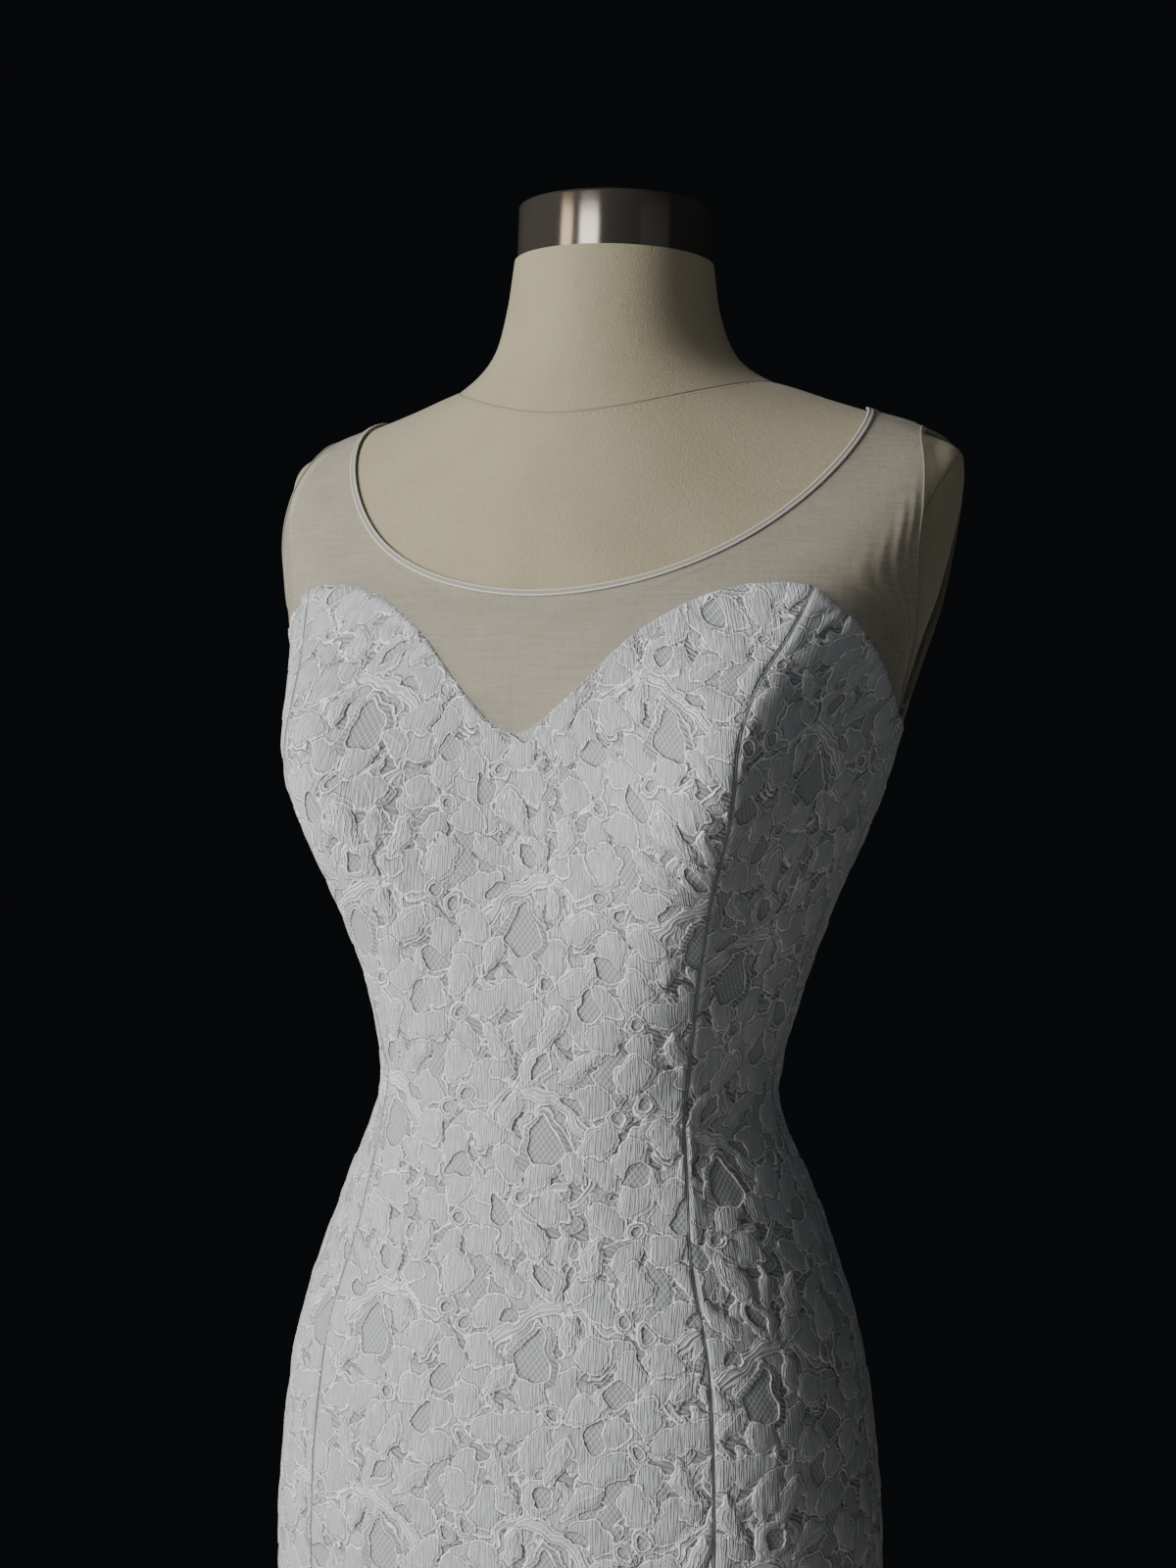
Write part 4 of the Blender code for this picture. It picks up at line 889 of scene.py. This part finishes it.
def tulleFinish():
    r = Recipe("soft_mesh")
    x, y, z = (place * 1000 for place in r.place())
    thread = r.noise(r.joined(x * 1.1, y * 1.1, z * 1.1), 1.0, 1.0)
    cloudy = r.noise(r.joined(x * 0.05, y * 0.05, z * 0.05), 1.0, 3.0).eased(0.3, 0.7)
    rows = r.noise(r.joined(x * 0.05, y * 0.05, z * 1.3), 1.0, 1.0).eased(0.3, 0.7)
    falls = r.noise(r.joined(x * 0.30, y * 0.30, z * 0.035), 1.0, 2.0).eased(0.25, 0.75)
    alpha = 0.38 + thread * 0.07 + falls * 0.03 + rows * 0.06
    colour = r.blend(cloudy, (0.475, 0.445, 0.36), (0.505, 0.475, 0.39))
    colour = r.shaded(colour, 0.92 + rows * 0.06 + falls * 0.03)
    return r.finish({"Specular IOR Level": 0.3, "Sheen Weight": 0.25, "Sheen Roughness": 0.35},
                    Base_Color=colour, Alpha=alpha, Roughness=0.55 + rows * 0.12,
                    Normal=r.bump(thread * 0.12 + rows * 0.14 + falls * 0.3, 0.5, 0.0004))


def linenFinish():
    r = Recipe("form_linen_cover")
    x, y, z = r.place()
    around = x.maths("ARCTAN2", y - 0.005) * 110
    rise = z * 1000
    weft = r.noise(r.joined(around * 0.40, rise * 1.35), 1.0, 2.0, 0.6).eased(0.25, 0.75)
    warp = r.noise(r.joined(around * 1.25, rise * 0.36), 1.0, 2.0, 0.6).eased(0.25, 0.75)
    weave = ((around * 7.2).sine() * 0.5 + 0.5) * 0.5 + ((rise * 8.4).sine() * 0.5 + 0.5) * 0.5
    slub = r.noise(r.joined(around * 0.05, rise * 1.4), 1.0, 3.0).eased(0.62, 0.74)
    broad = r.noise(r.joined(around * 0.02, rise * 0.02), 1.0, 3.0)
    neck, plate = r.attribute("form_neck"), r.attribute("form_plate")
    groove = neck.line(0.10, 0.55).most(plate.line(0.12, 0.65))
    lip = (neck - 1.2).line(0.3, 0.9)
    height = weft * 0.45 + warp * 0.40 + weave * 0.20 + slub * 0.3 - groove * 1.8 + lip * 0.6
    colour = r.blend(broad.eased(0.3, 0.7), (0.340, 0.303, 0.207), (0.368, 0.330, 0.228))
    colour = r.shaded(colour, 0.86 + weft * 0.13 + warp * 0.11 + weave * 0.06 - slub * 0.02 - groove * 0.20)
    return r.finish({"Specular IOR Level": 0.3, "Sheen Weight": 0.2}, Base_Color=colour,
                    Roughness=0.78 + weft * 0.1, Normal=r.bump(height, 0.8, 0.0003))


def metalFinish(name, colour, roughness, metallic=1.0, grain=(0.3, 9.0), coat=0.0):
    r = Recipe(name)
    x, y, z = r.place()
    around = x.maths("ARCTAN2", y) * 55
    brushed = r.noise(r.joined(around * grain[0], z * 1000 * grain[1]), 1.0, 3.0, 0.6)
    broad = r.noise(r.joined(x * 25, y * 25, z * 25), 1.0, 3.0)
    tone = r.blend(broad.eased(0.35, 0.7), colour, [c * 0.92 for c in colour])
    tone = r.shaded(tone, 0.97 + brushed * 0.05)
    return r.finish({"Metallic": metallic, "Coat Weight": coat}, Base_Color=tone,
                    Roughness=roughness + brushed * 0.06 + broad * 0.04,
                    Normal=r.bump(brushed, 0.15, 0.00004))


corded, lining = laceFinish(), satinFinish("satin_lining", (0.80, 0.80, 0.785))
tulle, pipingSatin = tulleFinish(), pipingFinish()
formThread = satinFinish("form_thread", (0.33, 0.295, 0.205), alongUv=False, roughness=0.60)
linen = linenFinish()
# partly the band's own tint, partly painted reflection: the brown colour with a small diffuse share (metallic
# 0.93) stands in for the dark brown surroundings the band would mirror
chrome = metalFinish("chrome_band", (0.56, 0.50, 0.44), 0.08, metallic=0.93, grain=(0.15, 6.0))
# the edging is partly painted shade: its colour, far darker than the mesh it is turned from, stands in for
# the thin shadow line along the armhole edge; the mesh seams take the same colour
edging = satinFinish("mesh_edging", (0.25, 0.24, 0.205), streakScale=(0.9, 0.7), roughness=0.58)
steel = metalFinish("stand_black_steel", (0.045, 0.046, 0.05), 0.38, 0.2, coat=0.15)
zipWhite = metalFinish("zip_white_enamel", (0.72, 0.735, 0.755), 0.30, 0.15, coat=0.25)
print("stage: finishes made")

# Gown panels
for panel in panels:
    lacePanel(panel, corded, lining)
print("stage: lace panels made")


def alongLine(points, closed=True):
    if closed:
        along = np.roll(points, -1, axis=0) - np.roll(points, 1, axis=0)
    else:
        along = np.gradient(points, axis=0)
    return along / np.linalg.norm(along, axis=1, keepdims=True)


# Pieces swept along a line of the cloth's surface
def sweptStrip(name, turns, levels, profile, closed, lift, finish):
    # profile is a ring of (aside, out) in metres, run round anticlockwise
    base, normal = surfaceAt(turns, levels), outwardAt(turns, levels)
    middle = base + normal * lift
    along = alongLine(middle, closed)
    aside = np.cross(normal, along)
    rings = middle[:, None] + aside[:, None] * profile[None, :, :1] + normal[:, None] * profile[None, :, 1:]
    count, sides = rings.shape[:2]
    index = numbered(count, sides)
    index = np.concatenate([index, index[:, :1]], axis=1)
    if closed:
        index = np.concatenate([index, index[:1]], axis=0)
    faces = gridFaces(index, flip=True).tolist()
    if not closed:
        faces += [index[0, :-1].tolist(), index[-1, :-1][::-1].tolist()]
    piece = meshPiece(name, rings.reshape(-1, 3).tolist(), faces, [finish], sharpDegrees=60)
    around = np.arange(sides) * bindings["aroundStep"]
    layFlat(piece, np.stack([np.tile(around, count), np.repeat(runLengths(middle, 0), sides)], -1))
    return piece


def ovalProfile(halfWidth, halfThick, count, valley=0.0, valleyWidth=0.00045):
    angles = 2 * np.pi * np.arange(count) / count
    aside = halfWidth * np.cos(angles)
    out = halfThick * np.sign(np.sin(angles)) * np.abs(np.sin(angles)) ** 0.8
    top = out > 0
    out = np.where(top, out * (1 - valley * np.exp(-((aside / valleyWidth) ** 2))), out)
    return np.stack([aside, out], -1)


bindings = {"neckHalfWidth": 0.0019, "neckHalfThick": 0.0009, "neckSteps": 360, "neckSides": 22,
            "neckValley": 0.60, "neckLift": 0.0005, "armHalfWidth": 0.0007, "armHalfThick": 0.0004,
            "armSteps": 240, "armSides": 12, "armLift": 0.0008, "endGap": 0.0016, "aroundStep": 0.0007}
turns = np.linspace(-math.pi + bindings["endGap"], math.pi - bindings["endGap"], bindings["neckSteps"])
piping = outwardFacing(sweptStrip(
    "neckline_piping", turns, neckEdge(turns),
    ovalProfile(bindings["neckHalfWidth"], bindings["neckHalfThick"], bindings["neckSides"],
                bindings["neckValley"]),
    False, bindings["neckLift"] + bindings["neckHalfThick"], pipingSatin))
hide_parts("neckline_binding")
edgeTurns, edgeLevels = closedCurve(armholePoints, np.linspace(0, 1, bindings["armSteps"], endpoint=False))
armEdges = []
for side, sign in (("left", 1), ("right", -1)):
    edge = outwardFacing(sweptStrip(
        "armhole_edge_" + side, sign * edgeTurns, edgeLevels,
        ovalProfile(bindings["armHalfWidth"], bindings["armHalfThick"], bindings["armSides"]),
        True, bindings["armLift"] + bindings["armHalfThick"], edging))
    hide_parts("armhole_binding_" + side)
    armEdges.append(edge)
for piece in [piping] + armEdges:
    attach(piece, "gown_on_form")
print("stage: bindings made")

# Mesh yokes: soft folds run down beside the armhole. Each fold: its distance from it, width and rise
# in mm, and the span of levels
yoke = {"rows": 68, "shoulderRows": 16, "columns": 120, "tuck": 0.0012, "shoulderGap": 0.0012,
        "backGap": 0.0016, "frontArmEnd": 0.47, "backArmEnd": 0.61, "backFolds": 0.6}
MeshFold = namedtuple("MeshFold", "away width rise low high")
meshFolds = [MeshFold(7.0, 2.8, 0.6, 1.250, 1.302), MeshFold(14.5, 3.6, 0.8, 1.246, 1.300),
             MeshFold(23.5, 4.2, 0.6, 1.252, 1.294), MeshFold(34.0, 5.4, 0.4, 1.262, 1.292)]


def yokeGrid(start, end, armEnd, corner):
    # a patch between the neckline, the lace, the centre and the side: the shoulder and then the armhole
    rows, columns, along = yoke["rows"], yoke["columns"], yoke["shoulderRows"]
    s, v = np.linspace(0, 1, columns + 1)[None, :], np.linspace(0, 1, rows + 1)[:, None]
    neckTurns, lowTurns = end + (start - end) * s, end + (corner - end) * s
    neck, low = (neckTurns, neckEdge(neckTurns)), (lowTurns, laceEdge(lowTurns) - yoke["tuck"])
    armShares = np.linspace(0.0 if armEnd < 0.5 else 1.0, armEnd, rows + 1 - along)
    armTurns, armLevels = closedCurve(armholePoints, armShares)
    armTurns[0], armTurns[-1], armLevels[-1] = start, corner, low[1][0, -1]
    shoulder = np.linspace(neck[1][0, -1], armLevels[0], along, endpoint=False)
    sideTurns = np.concatenate([np.full(along, start), armTurns])[:, None]
    side = (sideTurns, np.concatenate([shoulder, armLevels])[:, None])
    found = []
    for top, bottom, edge in zip(neck, low, side):
        centre = (1 - v) * top[:, :1] + v * bottom[:, :1]
        ends = (1 - s) * centre + s * ((1 - v) * top[:, -1:] + v * bottom[:, -1:])
        found.append(((1 - v) * top + v * bottom + (1 - s) * centre + s * edge - ends)[:, ::-1])
    away = runLengths(surfaceAt(*found), 1) * 1000
    return (*found, away)


def yokePiece(name, node, turns, levels, away, folds=1.0):
    base, normal = surfaceAt(turns, levels), outwardAt(turns, levels)
    height = np.zeros(turns.shape)
    for fold in meshFolds:
        span = soft(fold.low, fold.low + 0.012, levels) * (1 - soft(fold.high - 0.014, fold.high, levels))
        height += fold.rise * 1e-3 * np.exp(-(((away - fold.away) / fold.width) ** 2)) * span
    height *= folds
    lift = gownSizes["meshLift"] + height
    outer = base + normal * lift[..., None]
    inner = base + normal * (lift - gownSizes["meshWall"])[..., None]
    index, count = numbered(*turns.shape), turns.size
    faces = gridFaces(index, flip=True).tolist() + gridFaces(index + count).tolist()
    for line in (index[0], index[-1][::-1], index[::-1, 0], index[:, -1]):
        for a, b in zip(line.tolist(), line[1:].tolist()):
            faces.append((a, b, b + count, a + count))
    verts = np.concatenate([outer.reshape(-1, 3), inner.reshape(-1, 3)])
    piece = outwardFacing(meshPiece(name, verts.tolist(), faces, [tulle]))
    flat = np.stack([runLengths(base, 1).ravel(), runLengths(base, 0).ravel()], -1)
    layFlat(piece, np.tile(flat, (2, 1)))
    area = sheetArea(base)
    size = [float(base[..., 0].max() - base[..., 0].min()), float(base[..., 2].max() - base[..., 2].min())]
    size[1] = max(size[1], 1.002 * area / size[0])
    print("  %s: width %.3f, length %.3f, area %.4f" % (name, *size, area))
    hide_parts(node)
    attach(piece, "gown_on_form")
    return piece, size, area


turns, levels, away = yokeGrid(math.pi / 2 - yoke["shoulderGap"], 0.0, yoke["frontArmEnd"],
                               math.radians(cornerTurns["front"]))
whole = [np.concatenate([part, sign * part[:, -2::-1]], axis=1)
         for part, sign in ((turns, -1), (levels, 1), (away, 1))]
frontMesh = yokePiece("front_yoke_mesh", "front_yoke", *whole)
turns, levels, away = yokeGrid(math.pi / 2 + yoke["shoulderGap"], math.pi - yoke["backGap"],
                               yoke["backArmEnd"], math.radians(cornerTurns["back"]))
backMeshes = [yokePiece("back_yoke_mesh_" + side, "back_yoke_" + side, sign * turns, levels, away,
                        yoke["backFolds"])
              for side, sign in (("left", 1), ("right", -1))]
for (piece, size, area), goingWith in zip([frontMesh] + backMeshes, ([piping] + armEdges, [], [])):
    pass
print("stage: mesh yokes made")

# Narrow turned seams of the mesh: along each shoulder, and down both sides of the hidden zip
meshSeams = {"halfWidth": 0.0010, "halfThick": 0.00022, "zipHalfWidth": 0.0016, "zipAside": 0.020,
             "clear": 0.0036, "steps": 40, "sides": 12, "shoulderClear": 0.0025, "zipClear": 0.0006}


def meshSeam(name, turn, high, low, halfWidth):
    m = meshSeams
    levels, profile = np.linspace(high, low, m["steps"]), ovalProfile(halfWidth, m["halfThick"], m["sides"])
    seam = outwardFacing(sweptStrip(name, np.full(m["steps"], turn), levels, profile, False,
                                    gownSizes["meshLift"] + m["halfThick"], edging))
    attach(seam, "gown_on_form")


for side, sign in (("left", 1), ("right", -1)):
    meshSeam("shoulder_seam_" + side, sign * math.pi / 2, float(neckEdge(math.pi / 2)) - meshSeams["clear"],
             armholePoints[0].level + meshSeams["shoulderClear"], meshSeams["halfWidth"])
    meshSeam("zip_fold_" + side, sign * (math.pi - meshSeams["zipAside"]),
             neckEdgeLevels["back"] - meshSeams["clear"],
             float(laceEdge(math.pi)) + meshSeams["zipClear"], meshSeams["zipHalfWidth"])
print("stage: mesh seams made")

# The dress form: torso and neck
formSizes = {"columns": 240, "bottom": 0.800, "recess": 0.0024, "recessRun": 0.010, "plateSink": 0.0006,
             "neckSeamLevel": 1.4005, "neckSeamDip": 0.009, "groove": 0.0003, "grooveMm": 1.6,
             "plateSteps": 900, "plateEdgeMm": (-1.5, 2.5)}
platePoints = [
    Point("top", 90.0, 1.2990), Point("frontTop", 77.0, 1.2945), Point("frontHigh", 66.5, 1.2880),
    Point("front", 61.5, 1.2750), Point("frontLow", 66.0, 1.2580), Point("low", 78.0, 1.2475),
    Point("under", 92.0, 1.2450), Point("backLow", 106.0, 1.2500), Point("back", 115.5, 1.2650),
    Point("backHigh", 116.0, 1.2820), Point("backTop", 105.0, 1.2940),
]


def neckSeam(turns):
    return formSizes["neckSeamLevel"] - formSizes["neckSeamDip"] * np.sin(turns) ** 4


def lineDistance(points, line, atOnce=4000):
    # millimetres from each point to the nearest point of the line
    nearest = np.full(points.shape[0], 1e3)
    for start in range(0, points.shape[0], atOnce):
        part = points[start:start + atOnce]
        nearest[start:start + atOnce] = np.sqrt(((part[:, None] - line[None]) ** 2).sum(-1).min(1)) * 1000
    return nearest


def insideLine(turns, levels, lineTurns, lineLevels):
    inside = np.zeros(turns.shape, bool)
    for t0, l0, t1, l1 in zip(lineTurns, lineLevels, np.roll(lineTurns, -1), np.roll(lineLevels, -1)):
        crosses = (l0 > levels) != (l1 > levels)
        at = (t1 - t0) * (levels - l0) / (l1 - l0 if l1 != l0 else 1e-9) + t0
        inside ^= crosses & (turns < at)
    return inside


def makeForm():
    f = formSizes
    levels = np.concatenate([np.arange(1.4890, 1.2300, -0.0019), np.arange(1.2300, 1.1500, -0.005),
                             np.linspace(1.1500, f["bottom"], 36)])
    turns = np.linspace(-math.pi, math.pi, f["columns"], endpoint=False)
    turns, levels = np.broadcast_arrays(turns[None], levels[:, None])
    base, normal = surfaceAt(turns, levels, formTable), outwardAt(turns, levels, formTable)
    covered = soft(0.0, f["recessRun"], neckEdge(turns) - levels)
    plateTurns, plateLevels = closedCurve(platePoints, np.linspace(0, 1, f["plateSteps"]))
    inside = insideLine(np.abs(turns), levels, plateTurns[::10], plateLevels[::10])
    oneSide = np.stack([np.abs(base[..., 0]), base[..., 1], base[..., 2]], -1).reshape(-1, 3)
    plate = lineDistance(oneSide, surfaceAt(plateTurns, plateLevels, formTable)).reshape(turns.shape)
    plate = np.where(inside, plate, -plate)
    seam = surfaceAt(turns, neckSeam(turns), formTable)
    neck = np.linalg.norm(base - seam, axis=-1) * 1000 * np.sign(levels - neckSeam(turns))
    sink = f["recess"] * covered + f["plateSink"] * soft(*f["plateEdgeMm"], plate)
    groove = f["groove"] * np.exp(-((neck / f["grooveMm"]) ** 2))
    points = base - normal * (sink + groove)[..., None]
    index = numbered(*turns.shape)
    index = np.concatenate([index, index[:, :1]], axis=1)
    faces = gridFaces(index, flip=True).tolist() + [index[0, :-1].tolist(), index[-1, :-1][::-1].tolist()]
    piece = meshPiece("form_linen", points.reshape(-1, 3).tolist(), faces, [linen], sharpDegrees=60)
    outwardFacing(piece)
    layValues(piece, "form_neck", neck)
    layValues(piece, "form_plate", plate)
    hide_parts("form_torso")
    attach(piece, "gown_on_form")


makeForm()

# Stitches below the form's neck seam: one is modelled and copied all round
stitch = {"length": 0.0018, "thick": 0.00034, "count": 148, "below": 0.0019, "sunk": 0.00005}


def makeStitches():
    bpy.ops.object.select_all(action="DESELECT")
    bpy.ops.mesh.primitive_uv_sphere_add(segments=8, ring_count=5, radius=0.5, location=(0, 0, 0))
    one = bpy.context.object
    shape = np.array([tuple(vertex.co) for vertex in one.data.vertices])
    shape = shape[:, [2, 0, 1]]   # its poles along the seam
    oneFaces = [tuple(polygon.vertices) for polygon in one.data.polygons]
    bpy.data.objects.remove(one)
    turns = np.linspace(-math.pi, math.pi, stitch["count"], endpoint=False)
    levels = neckSeam(turns) - stitch["below"]
    base, normal = surfaceAt(turns, levels, formTable), outwardAt(turns, levels, formTable)
    along = alongLine(base)
    aside = np.cross(normal, along)
    verts = (base - normal * stitch["sunk"])[:, None] + along[:, None] * shape[None, :, :1] * stitch["length"]
    thick = aside[:, None] * shape[None, :, 1:2] + normal[:, None] * shape[None, :, 2:]
    verts = verts + thick * stitch["thick"]
    faces = [tuple(vertex + k * len(shape) for vertex in face)
             for k in range(stitch["count"]) for face in oneFaces]
    piece = outwardFacing(meshPiece("neck_seam_stitches", verts.reshape(-1, 3).tolist(), faces, [formThread]))
    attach(piece, "gown_on_form")


makeStitches()
print("stage: form made")


def selectFaces(piece, wanted):
    # in edit mode: selects the faces for which wanted(centre, normal) holds
    bpy.ops.mesh.select_all(action="DESELECT")
    bm = bmesh.from_edit_mesh(piece.data)
    bm.faces.ensure_lookup_table()
    for face in bm.faces:
        face.select = bool(wanted(face.calc_center_median(), face.normal))
    bm.select_flush_mode()
    bmesh.update_edit_mesh(piece.data)


def addedPiece(name, finish):
    piece = bpy.context.object
    piece.name = piece.data.name = name
    piece.data.materials.clear()
    piece.data.materials.append(finish)
    return piece


def settle(smoothDegrees=35):   # the active piece is put at the origin, its place in its mesh
    bpy.ops.object.mode_set(mode="OBJECT")
    bpy.ops.object.transform_apply(location=True, rotation=True, scale=True)
    bpy.ops.object.shade_smooth_by_angle(angle=math.radians(smoothDegrees))


# Neck cap: a plain polished band with a slightly domed top
cap = {"radius": 0.0520, "low": 1.4893, "height": 0.0290, "rim": 0.0016, "lip": 0.0013,
       "topRings": ((0.0030, 0.0), (0.0006, -0.0004), (0.018, 0.0006), (0.018, 0.0004))}   # inset, depth
bpy.ops.object.select_all(action="DESELECT")
bpy.ops.mesh.primitive_cylinder_add(vertices=128, radius=cap["radius"], depth=cap["height"],
                                    location=(0, 0, cap["low"] + cap["height"] / 2))
capPiece = addedPiece("chrome_neck_cap", chrome)
bpy.ops.object.mode_set(mode="EDIT")
selectFaces(capPiece, lambda centre, normal: normal.z > 0.9)
bpy.ops.mesh.bevel(offset=cap["rim"], segments=5, profile=0.5, affect="EDGES")
selectFaces(capPiece, lambda centre, normal: normal.z < -0.9)
bpy.ops.mesh.bevel(offset=cap["lip"], segments=4, profile=0.5, affect="EDGES")
selectFaces(capPiece, lambda centre, normal: normal.z > 0.999 and centre.z > 0)
for thickness, depth in cap["topRings"]:
    bpy.ops.mesh.inset(thickness=thickness, depth=depth)
settle()
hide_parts("neck_cap")
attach(capPiece, "gown_on_form")

for node in ("form_socket", "stand_pole", "stand_base"):
    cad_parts[node].material_slots[0].material = steel
for node in ("zip_slider", "zip_pull"):
    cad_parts[node].material_slots[0].material = zipWhite
print("stage: cap and stand made")

# Floor, light and camera
studio = {"distance": 1.316, "height": 1.21, "turn": 22.0, "yaw": -0.275, "roll": 1.6, "lens": 56.25,
          "floorRadius": 2.35, "floorDrop": 0.0005, "world": 0.005}
Lamp = namedtuple("Lamp", "name place target width height power colour reflected spread")
lamps = [
    Lamp("key_window", (-1.224, -1.512, 1.57), (0, 0, 1.15), 0.65, 1.4, 62.0, (1.0, 0.985, 0.96), False, 180),
    Lamp("white_window", (-0.375, -2.37, 2.04), (0, 0, 1.5), 0.90, 0.5, 4.6, (1.0, 0.99, 0.98), True, 180),
    Lamp("warm_window", (-1.32, -1.76, 1.99), (0, 0, 1.5), 0.52, 0.5, 1.6, (1.0, 0.86, 0.66), True, 180),
    Lamp("fill_side", (2.4, -0.9, 1.6), (0, 0, 1.1), 1.6, 1.6, 0.25, (0.86, 0.92, 1.0), True, 180),
    Lamp("rim_side", (1.30, 2.25, 1.6), (0, 0, 1.1), 1.2, 1.6, 0.8, (0.88, 0.93, 1.0), False, 180),
    Lamp("neck_soft", (1.0, -0.35, 2.35), (0.08, 0, 1.45), 0.4, 0.4, 0.14, (0.93, 0.96, 1.0), False, 45),
    Lamp("back_soft", (-0.95, 2.45, 1.35), (0, 0, 1.10), 1.0, 1.5, 4.5, (0.95, 0.97, 1.0), False, 50),
]


def softLight(lamp):
    data = bpy.data.lights.new(lamp.name, "AREA")
    data.shape, data.size, data.size_y = "RECTANGLE", lamp.width, lamp.height
    data.energy, data.color, data.spread = lamp.power, lamp.colour, math.radians(lamp.spread)
    made = bpy.data.objects.new(lamp.name, data)
    made.visible_glossy = lamp.reflected
    made.location = lamp.place
    made.rotation_euler = (Vector(lamp.target) - Vector(lamp.place)).to_track_quat("-Z", "Y").to_euler()
    bpy.context.scene.collection.objects.link(made)


bpy.ops.object.select_all(action="DESELECT")
bpy.ops.mesh.primitive_circle_add(vertices=96, radius=studio["floorRadius"], fill_type="NGON",
                                  location=(0, 0, -studio["floorDrop"]))
floor = bpy.context.object
floor.name = "studio_floor"
floorRecipe = Recipe("pale_floor")
floorX, floorY = floorRecipe.place()[:2]
floorNoise = floorRecipe.noise(floorRecipe.joined(floorX * 3, floorY * 3), 1.0, 3.0)
floorColour = floorRecipe.blend(floorNoise, (0.70, 0.70, 0.70), (0.74, 0.74, 0.735))
floor.data.materials.append(floorRecipe.finish({}, Base_Color=floorColour, Roughness=0.7 + floorNoise * 0.1))
for lamp in lamps:
    softLight(lamp)
world = bpy.context.scene.world or bpy.data.worlds.new("studio")
bpy.context.scene.world = world
world.use_nodes = True
world.node_tree.nodes["Background"].inputs[0].default_value = (0.80, 0.88, 1.0, 1.0)
world.node_tree.nodes["Background"].inputs[1].default_value = studio["world"]


def addCamera():
    s = studio
    turn, yaw, roll = (math.radians(s[k]) for k in ("turn", "yaw", "roll"))
    away = Vector((math.sin(turn), -math.cos(turn), 0.0))
    forward = -away
    right = Vector((math.cos(turn), math.sin(turn), 0.0))
    aim = forward * math.cos(yaw) + right * math.sin(yaw)
    side = right * math.cos(yaw) - forward * math.sin(yaw)
    top = Vector((0, 0, 1))
    rolledSide = side * math.cos(roll) + top * math.sin(roll)
    rolledTop = top * math.cos(roll) - side * math.sin(roll)
    data = bpy.data.cameras.new("photo_view")
    data.lens, data.sensor_width = s["lens"], 36.0
    camera = bpy.data.objects.new("photo_view", data)
    matrix = Matrix((rolledSide, rolledTop, -aim)).transposed().to_4x4()
    matrix.translation = away * s["distance"] + Vector((0, 0, s["height"]))
    camera.matrix_world = matrix
    bpy.context.scene.collection.objects.link(camera)
    bpy.context.scene.camera = camera


addCamera()
print("stage: scene made")
